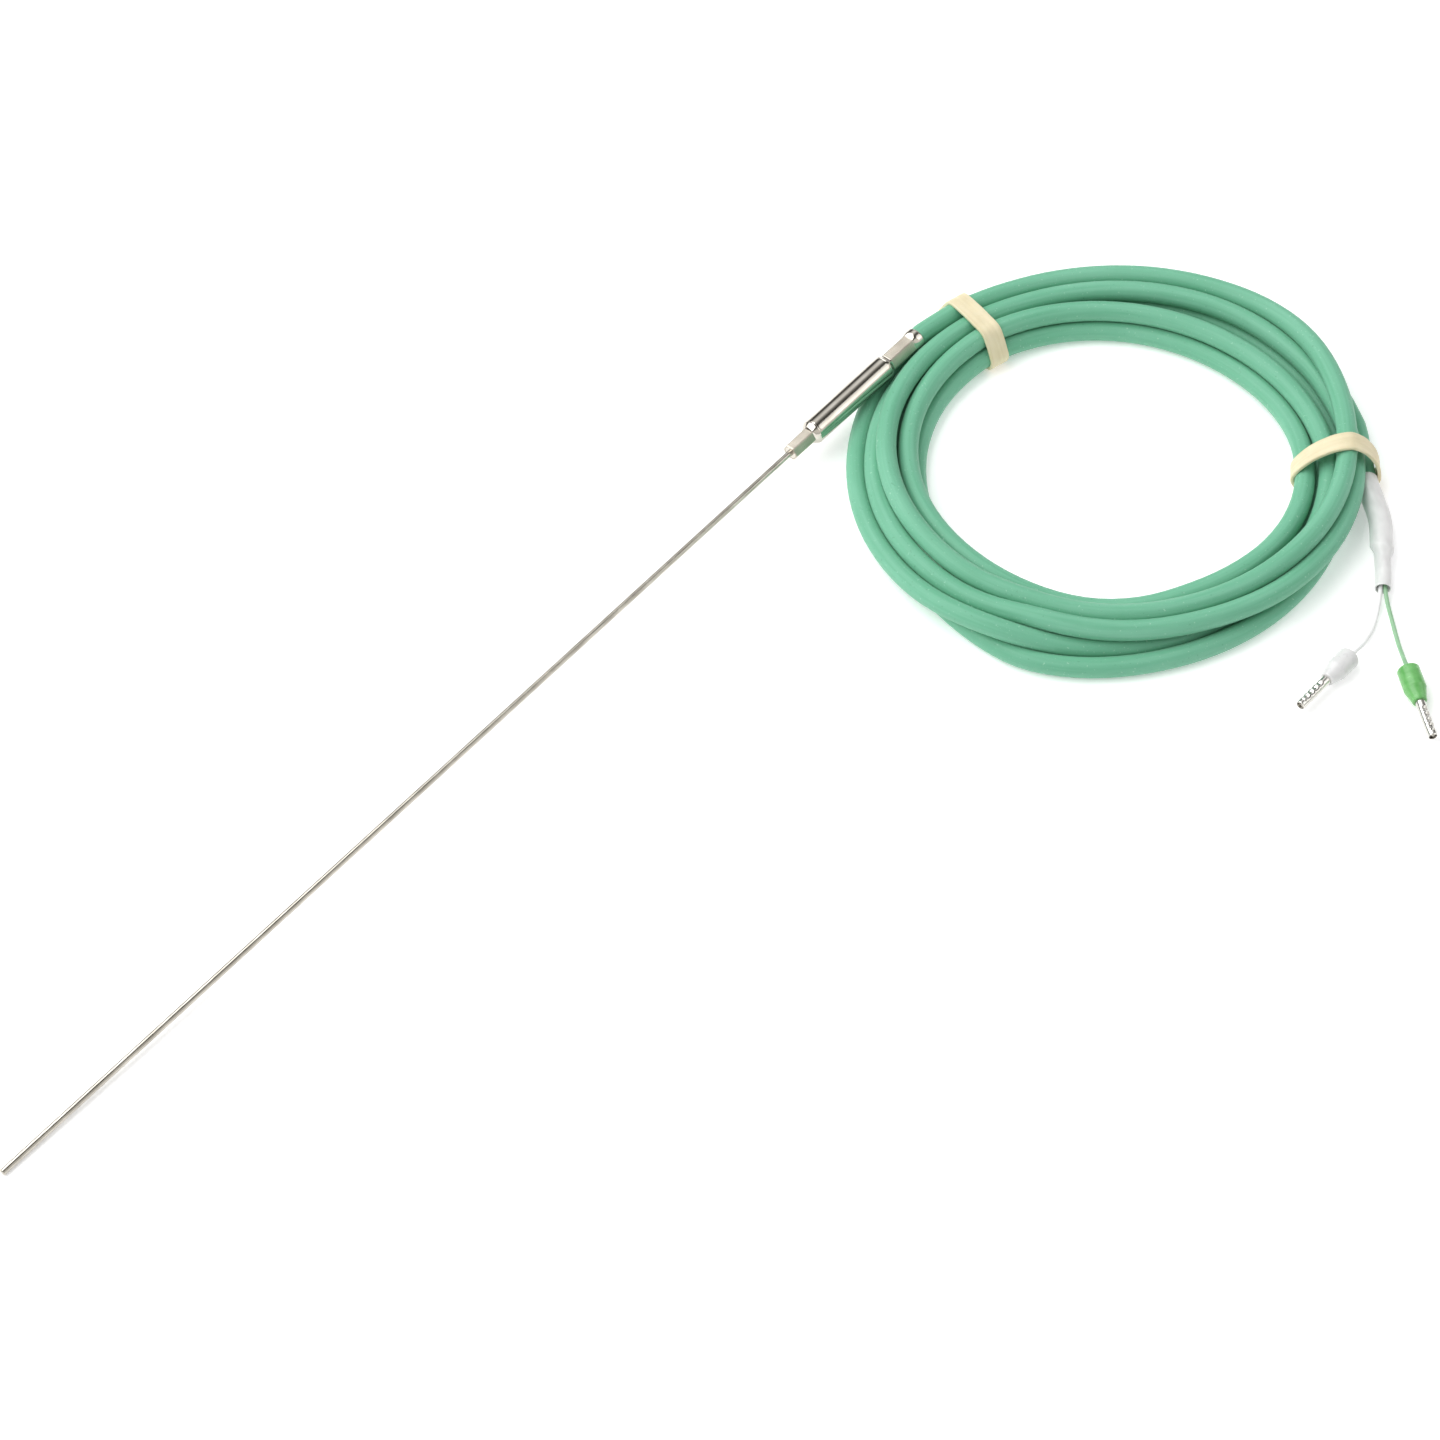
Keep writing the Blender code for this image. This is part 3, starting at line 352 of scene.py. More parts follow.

# %% [markdown]
# ## The two cores
# Each core is a thin wire in its own colour. Inside the heat-shrink they lie side by side, and
# beyond it they splay and sag to the table until each is held by its end sleeve. The places are
# listed in millimetres from the coil's centre.

# %% Core lines
CORE_DIAMETER = 1.0 * MM
FERRULE_HEIGHT = 2.65 * MM
core_half = CORE_DIAMETER / 2 + 0.03 * MM
shrink_places = [(34.8, -47.8, 3.97)] + tail_places + [(16.6, -65.5, 2.35), (11.9, -68.8, 2.1)]
shrink_line = smooth_route(coil_points(shrink_places), 0.4 * MM)
shrink_end = shrink_line[-1]
shrink_heading = (shrink_line[-1] - shrink_line[-4]).normalized()
shrink_across = Vector((shrink_heading.y, -shrink_heading.x, 0.0)).normalized()

core_runs = {
    "positive": (-1, Vector((-4.1, -86.6, 0)), math.radians(-128.7),
                 [(9.6, -71.9, 1.1), (5.9, -75.9, 0.75), (1.5, -80.6, 0.9)]),
    "negative": (1, Vector((-8.9, -74.7, 0)), math.radians(179.0),
                 [(7.2, -70.9, 1.1), (2.1, -73.1, 0.75), (-3.4, -74.3, 1.1)]),
}
core_pieces = {}
core_lines = {}
ferrule_frames = {}
for side_name, (side, place, turn, places) in core_runs.items():
    start = coil_centre + place * MM
    start.z = FERRULE_HEIGHT
    heading = Vector((math.cos(turn), math.sin(turn), 0.0))
    ferrule_frames[side_name] = (start, heading)
    offset = shrink_across * side * core_half
    line = [shrink_line[-24] + offset, shrink_line[-12] + offset, shrink_end + offset]
    line += coil_points(places)
    line += [start - heading * 1.5 * MM, start + heading * 0.5 * MM, start + heading * 3.0 * MM]
    core_lines[side_name] = smooth_route(line, 0.7 * MM)
    core_pieces[side_name] = skin(side_name + "_core_insulation", rings_along(
        core_lines[side_name], lambda s, a: CORE_DIAMETER / 2 + slight_waver(s, a, 4 * MM, 0.01 * MM),
        20), capped=True)
    print(side_name, "core length, mm:", round(route_length(core_lines[side_name]) / MM, 1))

# %% [markdown]
# ## Heat-shrink sleeve
# White polyolefin tube was slid over the end of the jacket and shrunk with hot air. It follows what
# is inside it: full over the jacket, a slanted step where the jacket stops, then a narrower neck on
# the two cores. It is drawn as an outer skin that turns back inside at the cut end, so the wall
# shows.

# %% Heat-shrink
SHRINK_RADIUS = 2.68 * MM
NECK_RADIUS = 1.92 * MM
SHRINK_WALL = 0.3 * MM
STEP_SLANT = 0.9 * MM
STEP_LENGTH = 2.6 * MM
shrink_length = route_length(shrink_line)
jacket_end = min(range(len(shrink_line)), key=lambda k: (shrink_line[k] - cable_line[-1]).length)
step_place = route_length(shrink_line[:jacket_end + 1]) + STEP_SLANT + 0.2 * MM


def shrink_radius(place, angle):
    """The radius of the shrunk sleeve, with a slanted step over the end of the jacket."""
    slanted = place - step_place - STEP_SLANT * math.cos(angle - 2.2)
    share = min(max(slanted / STEP_LENGTH, 0.0), 1.0)
    share = share * share * (3 - 2 * share)
    ridge = 0.14 * MM * math.exp(-(slanted / (0.5 * MM)) ** 2)
    radius = SHRINK_RADIUS + (NECK_RADIUS - SHRINK_RADIUS) * share + ridge
    return radius + slight_waver(place, angle, 5 * MM, 0.07 * MM)


outer_rings = rings_along(shrink_line, shrink_radius, 40)
inner_rings = rings_along(shrink_line, lambda s, a: shrink_radius(s, a) - SHRINK_WALL, 40)
lip_rings = rings_along(shrink_line, lambda s, a: shrink_radius(s, a) - SHRINK_WALL * 0.12, 40)
lip = [point + shrink_heading * 0.08 * MM for point in lip_rings[-1]]
shrink = skin("heat_shrink_sleeve", outer_rings + [lip] + inner_rings[::-1][:40])
print("heat-shrink length, mm:", round(shrink_length / MM, 1))

# %% [markdown]
# ## Insulated end sleeves
# An insulated ferrule is a tinned copper tube with a plastic collar. The strands go through both,
# and a crimping tool presses a row of teeth into the tube so that it grips them. The collar is
# turned from an outline; the tube is a stack of rings whose radius dips at each tooth.

# %% Collars
COLLAR_DIAMETER = 5.2 * MM
COLLAR_LENGTH = 9.4 * MM
PIN_DIAMETER = 2.3 * MM
PIN_LENGTH = 9.8 * MM
PIN_WALL = 0.25 * MM
up = Vector((0.0, 0.0, 1.0))


def arc(centre, radii, start, end, steps):
    """Points of a quarter-round in (place, radius), for an edge of a turned outline."""
    points = []
    for step in range(steps + 1):
        angle = math.radians(start + (end - start) * step / steps)
        points.append((centre[0] + radii[0] * math.cos(angle), centre[1] + radii[1] * math.sin(angle)))
    return points


def turned(name, origin, along, outline, sides=64, sharp=35):
    """A turned piece: an outline of (place, radius) spun about a line, closed on itself."""
    flat = up - along * up.dot(along)
    side = -flat.normalized()
    return skin(name, [ring(origin + along * place, along, side, radius, sides)
                       for place, radius in outline], closed=True, sharp=sharp)


collar_radius = COLLAR_DIAMETER / 2
cone_start = COLLAR_LENGTH - 3.3 * MM
pin_hole = PIN_DIAMETER / 2 + 0.03 * MM
collars = {}
for side_name, (start, heading) in ferrule_frames.items():
    bevel = 1.7 * MM if side_name == "negative" else 0.6 * MM
    outline = [(0.0, 0.95 * MM)]
    outline += arc((bevel * 0.8, collar_radius - bevel), (bevel * 0.8, bevel), 180, 90, 8)
    outline += arc((cone_start - 0.4 * MM, collar_radius - 0.5 * MM), (0.5 * MM, 0.5 * MM), 90, 55, 4)
    outline += [(COLLAR_LENGTH - 0.7 * MM, pin_hole + 0.6 * MM)]
    outline += arc((COLLAR_LENGTH - 0.35 * MM, pin_hole + 0.25 * MM), (0.35 * MM, 0.3 * MM), 60, 0, 4)
    outline += [(COLLAR_LENGTH, pin_hole), (3.5 * MM, pin_hole), (3.5 * MM, 0.95 * MM)]
    collars[side_name] = turned(side_name + "_ferrule_collar", start, heading, outline)
print("collar outline points:", len(outline))

# %% Crimped pins and their strands
TOOTH_SPACING = 1.6 * MM
TOOTH_DEPTH = 0.36 * MM
STRAND_DIAMETER = 0.55 * MM
pins = {}
strands = {}


def pin_radius(place, angle):
    """The tinned tube: round at both ends, pressed from above and below by the tool's teeth."""
    radius = PIN_DIAMETER / 2
    first = COLLAR_LENGTH + 1.9 * MM
    if place < first or place > first + 4.3 * TOOTH_SPACING:
        return radius
    wave = 0.5 - 0.5 * math.cos(2 * math.pi * (place - first) / TOOTH_SPACING)
    facing = abs(math.cos(angle)) ** 3
    squeeze = 0.05 * MM * math.sin(math.pi * (place - first) / (4.3 * TOOTH_SPACING))
    return radius - TOOTH_DEPTH * wave ** 0.6 * facing + squeeze * abs(math.sin(angle))


pin_end = COLLAR_LENGTH + PIN_LENGTH
for side_name, (start, heading) in ferrule_frames.items():
    roll = 0.5 if side_name == "positive" else -0.35
    side = up * -math.cos(roll) + heading.cross(up) * math.sin(roll)
    rings = []
    for step in range(121):
        place = COLLAR_LENGTH - 5.9 * MM + (PIN_LENGTH + 5.9 * MM - 0.1 * MM) * step / 120
        rings.append(ring(start + heading * place, heading, side,
                          lambda a, s=place: pin_radius(s, a), 40))
    rings.append(ring(start + heading * pin_end, heading, side, PIN_DIAMETER / 2 - 0.06 * MM, 40))
    for step in range(13):
        place = pin_end - (pin_end - COLLAR_LENGTH) * step / 12 * 0.3
        rings.append(ring(start + heading * place, heading, side, PIN_DIAMETER / 2 - PIN_WALL, 40))
    pins[side_name] = skin(side_name + "_ferrule_pin", rings, sharp=50)

    layout = [(0.0, 0.0)] + [(STRAND_DIAMETER * 1.04, math.pi / 3 * k) for k in range(6)]
    stack = bmesh.new()
    for strand, (out, turn) in enumerate(layout):
        line = []
        for step in range(15):
            place = COLLAR_LENGTH + 5.0 * MM + (PIN_LENGTH - 5.35 * MM - 0.12 * MM * (strand % 3)) * step / 14
            twist = turn + place / (14 * MM) * 2 * math.pi
            line.append(start + heading * place + side * out * math.cos(twist)
                        + heading.cross(side) * out * math.sin(twist))
        piece = skin("strand", rings_along(line, lambda s, a: STRAND_DIAMETER / 2, 12), capped=True)
        stack.from_mesh(piece.data)
        bpy.data.objects.remove(piece, do_unlink=True)
    strands[side_name] = new_piece(side_name + "_strand_bundle", stack)
print("pins:", list(pins))

# %% [markdown]
# ## Sheath and transition sleeve
# The sheath is drawn tube, welded shut at the tip: a long thin cylinder with a slightly rounded end.
# The sleeve is turned tube whose two ends were pressed to a hexagon by a crimping tool. Its radius
# is the smaller of the round bar and the hexagon at each angle, which is just what pressing does,
# and the tool's grooved jaws leave fine ridges on the flats.

# %% Sheath
def probe_ring(place, radius_at, sides):
    """A ring round the probe's axis at a distance from its tip."""
    return ring(probe_tip + probe_along * place, probe_along, -probe_up, radius_at, sides)


sheath_radius = SHEATH_DIAMETER / 2
SHEATH_IN_SLEEVE = 9.9 * MM
TIP_ROUNDING = 0.28 * MM
SHEATH_RINGS = 60
sheath_rings = [probe_ring(0.0, 0.02 * MM, 40)]
for degrees in range(0, 91, 15):
    angle = math.radians(degrees)
    sheath_rings.append(probe_ring(TIP_ROUNDING * (1 - math.cos(angle)),
                                   sheath_radius - TIP_ROUNDING * (1 - math.sin(angle)), 40))
for step in range(1, SHEATH_RINGS + 1):
    place = TIP_ROUNDING + (SHEATH_FREE_LENGTH + SHEATH_IN_SLEEVE - TIP_ROUNDING) * step / SHEATH_RINGS
    sheath_rings.append(probe_ring(place, sheath_radius, 40))
sheath = skin("sheath", sheath_rings, capped=True, sharp=60)
print("sheath faces:", len(sheath.data.polygons))

# %% Transition sleeve
NOSE_LENGTH = 6.9 * MM
REAR_CRIMP_LENGTH = 8.0 * MM
MOUTH_LENGTH = 2.9 * MM
SHOULDER_LENGTH = 1.5 * MM
nose_start = SHEATH_FREE_LENGTH
nose_end = nose_start + NOSE_LENGTH
body_start = nose_end + SHOULDER_LENGTH
mouth_start = probe_length - MOUTH_LENGTH
crimp_start = mouth_start - REAR_CRIMP_LENGTH
body_end = crimp_start - SHOULDER_LENGTH
BODY_RADIUS = 3.0 * MM
MOUTH_RADIUS = 2.75 * MM
NOSE_FLAT = 1.85 * MM
CRIMP_FLAT = 2.25 * MM
RIDGE_SPACING = 0.55 * MM
RIDGE_HEIGHT = 0.035 * MM
HEXAGON_TURN = math.radians(33.6)       # a corner faces up and towards -Y


def hexagon(flat, corner_share):
    """A function of the angle: a hexagon with rounded corners, half its width across flats given."""
    def radius(angle):
        turned_to = (angle + HEXAGON_TURN) % (math.pi / 3) - math.pi / 6
        return min(flat / math.cos(turned_to), flat * corner_share)
    return radius


nose_hexagon = hexagon(NOSE_FLAT, 1.125)
crimp_hexagon = hexagon(CRIMP_FLAT, 1.115)


def sleeve_radius_at(place):
    """The sleeve's radius as a function of the angle, at a distance from the tip."""
    def ridge(angle):
        return RIDGE_HEIGHT * (0.5 + 0.5 * math.cos(2 * math.pi * place / RIDGE_SPACING))
    if place <= nose_end:
        lip = min((place - nose_start) / (0.3 * MM), 1.0)
        return lambda angle: nose_hexagon(angle) - 0.12 * MM * (1 - lip) ** 2 - ridge(angle) * lip
    if place <= body_start:
        share = (place - nose_end) / SHOULDER_LENGTH
        share = min(share * 1.25, 1.0) ** 0.75
        return lambda angle: nose_hexagon(angle) * (1 - share) + BODY_RADIUS * share
    if place <= body_end:
        edge = min(place - body_start, body_end - place) / (0.5 * MM)
        rounding = 0.06 * MM * (1 - min(edge, 1.0)) ** 2
        return lambda angle: BODY_RADIUS - rounding
    if place <= crimp_start:
        share = (place - body_end) / SHOULDER_LENGTH
        share = share * share * (3 - 2 * share)
        return lambda angle: BODY_RADIUS * (1 - share) + crimp_hexagon(angle) * share
    if place <= mouth_start:
        return lambda angle: crimp_hexagon(angle) - ridge(angle)
    share = (place - mouth_start) / MOUTH_LENGTH
    flare = min(share / 0.5, 1.0)
    flare = flare * flare * (3 - 2 * flare)
    lip = max((share - 0.88) / 0.12, 0.0) ** 2 * 0.12 * MM
    return lambda angle: crimp_hexagon(angle) * (1 - flare) + MOUTH_RADIUS * flare - lip


SLEEVE_RINGS = 460
sleeve_rings = []
for step in range(SLEEVE_RINGS + 1):
    place = nose_start + (probe_length - nose_start) * step / SLEEVE_RINGS
    sleeve_rings.append(probe_ring(place, sleeve_radius_at(place), 96))
bore = [(probe_length, 2.5 * MM), (probe_length - 1.6 * MM, 2.5 * MM), (mouth_start, 1.97 * MM),
        (crimp_start, 1.95 * MM), (body_end, 2.6 * MM), (body_start, 2.6 * MM), (nose_end, 1.53 * MM),
        (nose_start, 1.53 * MM)]
for place, radius in bore:
    sleeve_rings.append(probe_ring(place, radius, 96))
sleeve = skin("crimped_transition_sleeve", sleeve_rings, closed=True, sharp=22)
print("sleeve faces:", len(sleeve.data.polygons))

# %% [markdown]
# ## Rubber bands
# A band cut from natural rubber tube hugs whatever it holds, so its line is worked out from the
# strands. It starts as the convex outline of their cross-section, as a string pulled tight round
# them would lie. A band is stiffer than a string, so its free spans then bow out to arcs. The second
# band leans a little and sits askew, and its seven strands are bunched three deep.

# %% Bands round the strands
BAND_WIDTH = 5.1 * MM
TAIL_RADIUS = 59.2 * MM
TAIL_HEIGHT = 4.03 * MM
COIL_MIDDLE = 52.0 * MM                  # the radius about which a band is slewed
FIRST_BOW = 60 * MM                      # radius of a free span
SECOND_BOW = 10 * MM
SECOND_ANGLE = 144.3                     # clock angle on the table, at that radius
SECOND_LEAN = 0.15                       # degrees of clock angle a millimetre of height
SECOND_SLEW = 0.2                        # degrees a millimetre of radius
STRANDS_LEAN = 0.08                      # of the plane in which the second band's strands are read


def strands_at(degrees, lean=0.0):
    """(radius, height, own radius) of every strand that crosses a plane leaned from this angle."""
    found = []
    for turn in range(7):
        height = LOW * MM
        for closer in range(4):
            angle = degrees - lean * height / MM + 360 * turn
            height = float(np.interp(angle, strand_angles, strand_height))
        if angle <= strand_angles[-1]:
            found.append((float(np.interp(angle, strand_angles, strand_radius)), height, cable_radius))
    return found


def tight_outline(circles, margin, bow, rounds=900):
    """The outline of a band pulled round circles, as evenly spaced (radius, height) points.

    It starts as their convex outline. A free span then bows out to an arc of the radius bow.
    """
    cloud = []
    for radius, height, size in circles:
        for step in range(48):
            angle = 2 * math.pi * step / 48
            cloud.append((radius + (size + margin) * math.cos(angle),
                          height + (size + margin) * math.sin(angle)))
    cloud.sort()
    hull = []
    for points in (cloud, cloud[::-1]):
        part = []
        for point in points:
            while len(part) > 1 and ((part[-1][0] - part[-2][0]) * (point[1] - part[-2][1])
                                     - (part[-1][1] - part[-2][1]) * (point[0] - part[-2][0])) <= 0:
                part.pop()
            part.append(point)
        hull += part[:-1]
    loop = np.array(hull + hull[:1])
    lengths = np.concatenate([[0], np.cumsum(np.hypot(*np.diff(loop, axis=0).T))])
    wanted = np.linspace(0, lengths[-1], 161)[:-1]
    even = np.stack([np.interp(wanted, lengths, loop[:, axis]) for axis in (0, 1)], axis=1)
    spacing = lengths[-1] / 160
    for settling in range(rounds):
        tangent = np.roll(even, -1, axis=0) - np.roll(even, 1, axis=0)
        tangent /= np.hypot(tangent[:, 0], tangent[:, 1])[:, None]
        outward = np.stack([tangent[:, 1], -tangent[:, 0]], axis=1)
        even = (np.roll(even, 1, axis=0) + 2 * even + np.roll(even, -1, axis=0)) / 4
        even += outward * spacing ** 2 / 4 / bow
        for radius, height, size in circles:
            away = even - (radius, height)
            reach = np.hypot(away[:, 0], away[:, 1])
            short = np.maximum(size + margin - reach, 0) / reach
            even += away * short[:, None]
        even[:, 1] = np.maximum(even[:, 1], BAND_THICKNESS / 2 + 0.05 * MM)
    return even


def rubber_band(name, degrees, lean, slew, bow, circles):
    """A flat band round the strands.

    lean is in degrees of clock angle a millimetre of height, slew the same a millimetre of radius.
    """
    middle = tight_outline(circles, BAND_THICKNESS / 2 + 0.04 * MM, bow)
    lowest = middle[:, 1].min() - BAND_THICKNESS / 2
    highest = middle[:, 1].max() + BAND_THICKNESS / 2
    bm = bmesh.new()
    layer = bm.loops.layers.uv.new("metres")
    section = []
    half_width = BAND_WIDTH / 2
    half = BAND_THICKNESS / 2
    for across, out in ((-1, -0.55), (-0.93, -1), (-0.5, -1), (0, -1.04), (0.5, -1), (0.93, -1), (1, -0.55),
                        (1, 0.55), (0.93, 1), (0.5, 1), (0.12, 0.94), (0, 0.86), (-0.12, 0.94), (-0.5, 1),
                        (-0.93, 1), (-1, 0.55)):
        section.append((across * half_width, out * half))
    rows = []
    for index, spot in enumerate(middle):
        tangent = middle[(index + 1) % len(middle)] - middle[index - 1]
        tangent /= np.hypot(*tangent)
        normal = np.array((tangent[1], -tangent[0]))
        turn_here = degrees - lean * spot[1] / MM - slew * (spot[0] - COIL_MIDDLE) / MM
        radial = clock_point(turn_here, 1.0, 0.0) - coil_centre
        sideways = Vector((radial.y, -radial.x, 0.0))
        tilt = lean * math.radians(1) * spot[0] / MM
        width_line = (sideways + up * tilt * tangent[1] ** 2).normalized()
        flutter = slight_waver(index * 0.0004, 0.0, 3 * MM, 0.12 * MM)
        row = []
        for across, out in section:
            base = clock_point(turn_here, spot[0] + normal[0] * out, spot[1] + normal[1] * out)
            row.append(bm.verts.new(base + width_line * (across + flutter)))
        rows.append(row)
    around = float(np.hypot(*(middle[1] - middle[0])))
    for near in range(len(rows)):
        far = (near + 1) % len(rows)
        for step in range(len(section)):
            after = (step + 1) % len(section)
            face = bm.faces.new((rows[near][step], rows[near][after], rows[far][after], rows[far][step]))
            # Faces on the band's inner side, towards the strands, take the second slot: painted shade.
            face.material_index = 1 if step < 6 else 0
            for loop, (index, corner) in zip(face.loops, ((near, step), (near, step + 1),
                                                          (near + 1, step + 1), (near + 1, step))):
                loop[layer].uv = (section[corner % len(section)][0], index * around)
            face.smooth = True
    bmesh.ops.recalc_face_normals(bm, faces=bm.faces)
    piece = new_piece(name, bm)
    piece.data.set_sharp_from_angle(angle=math.radians(40))
    print(name, "lowest and highest, mm:", round(lowest / MM, 2), round(highest / MM, 2))
    return piece


first_band = rubber_band("first_band", BAND_SPOTS[0], 0.0, 0.0, FIRST_BOW, strands_at(BAND_SPOTS[0]))
second_circles = strands_at(BAND_SPOTS[1], STRANDS_LEAN)[:6] + [(TAIL_RADIUS, TAIL_HEIGHT, cable_radius)]
for radius, height, size in second_circles:
    print("strand in the second band, mm:", round(radius / MM, 1), round(height / MM, 1))
second_band = rubber_band("second_band", SECOND_ANGLE, SECOND_LEAN, SECOND_SLEW, SECOND_BOW,
                          second_circles)

# %% [markdown]
# ## Colours and shader nodes
# Colours are written as sRGB hex values, the way a paint chart gives them, and turned to linear
# light by one function. A second function adds a node with its settings and links, so that each
# material reads as a short list of what is mixed into what.

# %% Helpers for materials
def shade(code):
    """An sRGB hex colour such as 8CD8B8 as linear red, green, blue and alpha."""
    parts = [int(code[k:k + 2], 16) / 255 for k in (0, 2, 4)]
    return (*[p / 12.92 if p <= 0.04045 else ((p + 0.055) / 1.055) ** 2.4 for p in parts], 1.0)


def add_node(material, kind, values=None, links=None, **settings):
    """Add a shader node, set its settings and sockets, and link other nodes' outputs to it."""
    node = material.node_tree.nodes.new(kind)
    for name, value in settings.items():
        setattr(node, name, value)
    for socket, value in (values or {}).items():
        node.inputs[socket].default_value = value
    for socket, source in (links or {}).items():
        material.node_tree.links.new(source, node.inputs[socket])
    return node


def new_material(name, **values):
    """A material with a Principled BSDF, its sockets set by name, underscores for spaces."""
    material = bpy.data.materials.new(name)
    material.use_nodes = True
    shader = material.node_tree.nodes["Principled BSDF"]
    for socket, value in values.items():
        shader.inputs[socket.replace("_", " ")].default_value = value
    return material, shader


def link(material, source, target):
    """Link one socket to another."""
    material.node_tree.links.new(source, target)


def grain(material, size, stretch=(1, 1, 1), use_map=False, detail=3.0, roughness=0.5):
    """Noise whose lumps are about the given size in metres, in space or in the map of metres."""
    if use_map:
        spot = add_node(material, "ShaderNodeUVMap", uv_map="metres").outputs["UV"]
    else:
        spot = add_node(material, "ShaderNodeTexCoord").outputs["Object"]
    scaled = add_node(material, "ShaderNodeMapping", {"Scale": stretch}, {"Vector": spot})
    return add_node(material, "ShaderNodeTexNoise",
                    {"Scale": 1 / size, "Detail": detail, "Roughness": roughness},
                    {"Vector": scaled.outputs["Vector"]}).outputs["Fac"]


def blend_colours(material, factor, first, second, low=0.35, high=0.65):
    """A colour that goes from the first to the second as the factor goes from low to high."""
    ramp = add_node(material, "ShaderNodeValToRGB", links={"Fac": factor})
    ramp.color_ramp.elements[0].position = low
    ramp.color_ramp.elements[0].color = shade(first)
    ramp.color_ramp.elements[1].position = high
    ramp.color_ramp.elements[1].color = shade(second)
    return ramp.outputs["Color"]


def rescale(material, factor, low, high, start=0.3, end=0.7):
    """The factor mapped from start..end to low..high."""
    return add_node(material, "ShaderNodeMapRange",
                    {"From Min": start, "From Max": end, "To Min": low, "To Max": high},
                    {"Value": factor}).outputs["Result"]


def mix_colours(material, factor, first, second):
    """Two colours mixed by a factor. Each is a socket or a value."""
    node = add_node(material, "ShaderNodeMix", data_type="RGBA")
    for source, target in ((factor, 0), (first, 6), (second, 7)):
        if isinstance(source, (float, tuple)):
            node.inputs[target].default_value = source
        else:
            link(material, source, node.inputs[target])
    return node.outputs[2]


def specked(material, colour, speck, size, stretch, most, start, end):
    """The colour with specks of another where a noise rises from start to end."""
    spots = grain(material, size, stretch, detail=1, roughness=0.4)
    return mix_colours(material, rescale(material, spots, 0.0, most, start, end), colour, speck)


def coat(material, surface, colour, roughness):
    """Link the colour and the roughness that a surface takes."""
    link(material, colour, surface.inputs["Base Color"])
    link(material, roughness, surface.inputs["Roughness"])


def see_into(surface, share, reach, depth):
    """Let a share of the light into a surface, to a depth in metres, with a reach for each colour."""
    surface.inputs["Subsurface Weight"].default_value = share
    surface.inputs["Subsurface Radius"].default_value = reach
    surface.inputs["Subsurface Scale"].default_value = depth


def bumps(material, shader, layers):
    """Stack bump layers, each a (height socket, distance in metres, strength)."""
    normal = None
    for height, distance, strength in layers:
        links = {"Height": height}
        if normal is not None:
            links["Normal"] = normal
        normal = add_node(material, "ShaderNodeBump", {"Distance": distance, "Strength": strength},
                          links).outputs["Normal"]
    link(material, normal, shader.inputs["Normal"])


def dress(piece, *materials):
    """Give a piece its materials, in the order of its faces' slots."""
    piece.data.materials.clear()
    for material in materials:
        piece.data.materials.append(material)


# %% [markdown]
# ## Extruded silicone, the cable's jacket
# Silicone rubber is extruded over the cores and left matt. Its colour is a milky green, slightly
# translucent, with faint lines along the cable from the die and a little pale dust that it always
# picks up. The lines use the map in metres, so they run along the cable through every turn.

# %% Cable jacket
silicone, shader = new_material("extruded_green_silicone", Roughness=0.5, IOR=1.41)
cloudy = grain(silicone, 22 * MM)
streaks = grain(silicone, 0.9 * MM, (1, 0.03, 1), use_map=True, detail=2)
base = blend_colours(silicone, cloudy, "68AF8D", "74B697")
lines = blend_colours(silicone, streaks, "5FA986", "81C0A3", 0.3, 0.72)
colour = mix_colours(silicone, 0.45, base, lines)
colour = specked(silicone, colour, shade("A9D2BF"), 0.55 * MM, (1, 1, 1), 0.55, 0.70, 0.78)
colour = specked(silicone, colour, shade("478A6A"), 0.8 * MM, (1.3, 1.1, 0.9), 0.35, 0.71, 0.79)
coat(silicone, shader, colour, rescale(silicone, streaks, 0.44, 0.62))
see_into(shader, 0.12, (0.6, 1.0, 0.8), 0.8 * MM)
shader.inputs["Sheen Weight"].default_value = 0.06
bumps(silicone, shader, [(streaks, 0.03 * MM, 0.5), (grain(silicone, 0.25 * MM, detail=2), 0.012 * MM, 0.6)])
dress(cable, silicone)

# %% [markdown]
# ## Core insulation, heat-shrink and collars
# The cores are thinly insulated in smooth silicone, glossier than the jacket. Heat-shrink is
# cross-linked polyolefin: satin white, with fine wrinkles round it where it shrank. The collars are
# moulded polypropylene, glossy and a little translucent, with faint mould flow.

# %% Cores, heat-shrink and collars
def moulded(name, first, second, roughness, lump, see_in=0.1, dent=0.01 * MM):
    """Smooth plastic or rubber in one colour with slight clouds, lines and wear."""
    material, surface = new_material(name, Roughness=roughness, IOR=1.49)
    cloud = grain(material, lump)
    fine = grain(material, 0.3 * MM, detail=2)
    colour = blend_colours(material, cloud, first, second, 0.3, 0.7)
    darker = tuple(0.55 * v for v in shade(first)[:3]) + (1.0,)
    colour = specked(material, colour, darker, 0.4 * MM, (0.9, 1.2, 1.0), 0.22, 0.72, 0.8)
    coat(material, surface, colour, rescale(material, cloud, roughness - 0.06, roughness + 0.08))
    see_into(surface, see_in, (1.0, 1.0, 1.0), 0.6 * MM)
    bumps(material, surface, [(fine, dent, 0.5)])
    return material


core_green = moulded("smooth_green_silicone", "8BB78F", "9FC8A3", 0.34, 3 * MM)
core_white = moulded("smooth_white_silicone", "EAEAEA", "F2F2F2", 0.34, 3 * MM)
collar_green = moulded("moulded_green_polypropylene", "62A85B", "78BC71", 0.22, 2.4 * MM, 0.2)
collar_white = moulded("moulded_white_polypropylene", "DADADA", "E2E2E1", 0.3, 2.4 * MM, 0.2)
dress(core_pieces["positive"], core_green)
dress(core_pieces["negative"], core_white)
dress(collars["positive"], collar_green)
dress(collars["negative"], collar_white)

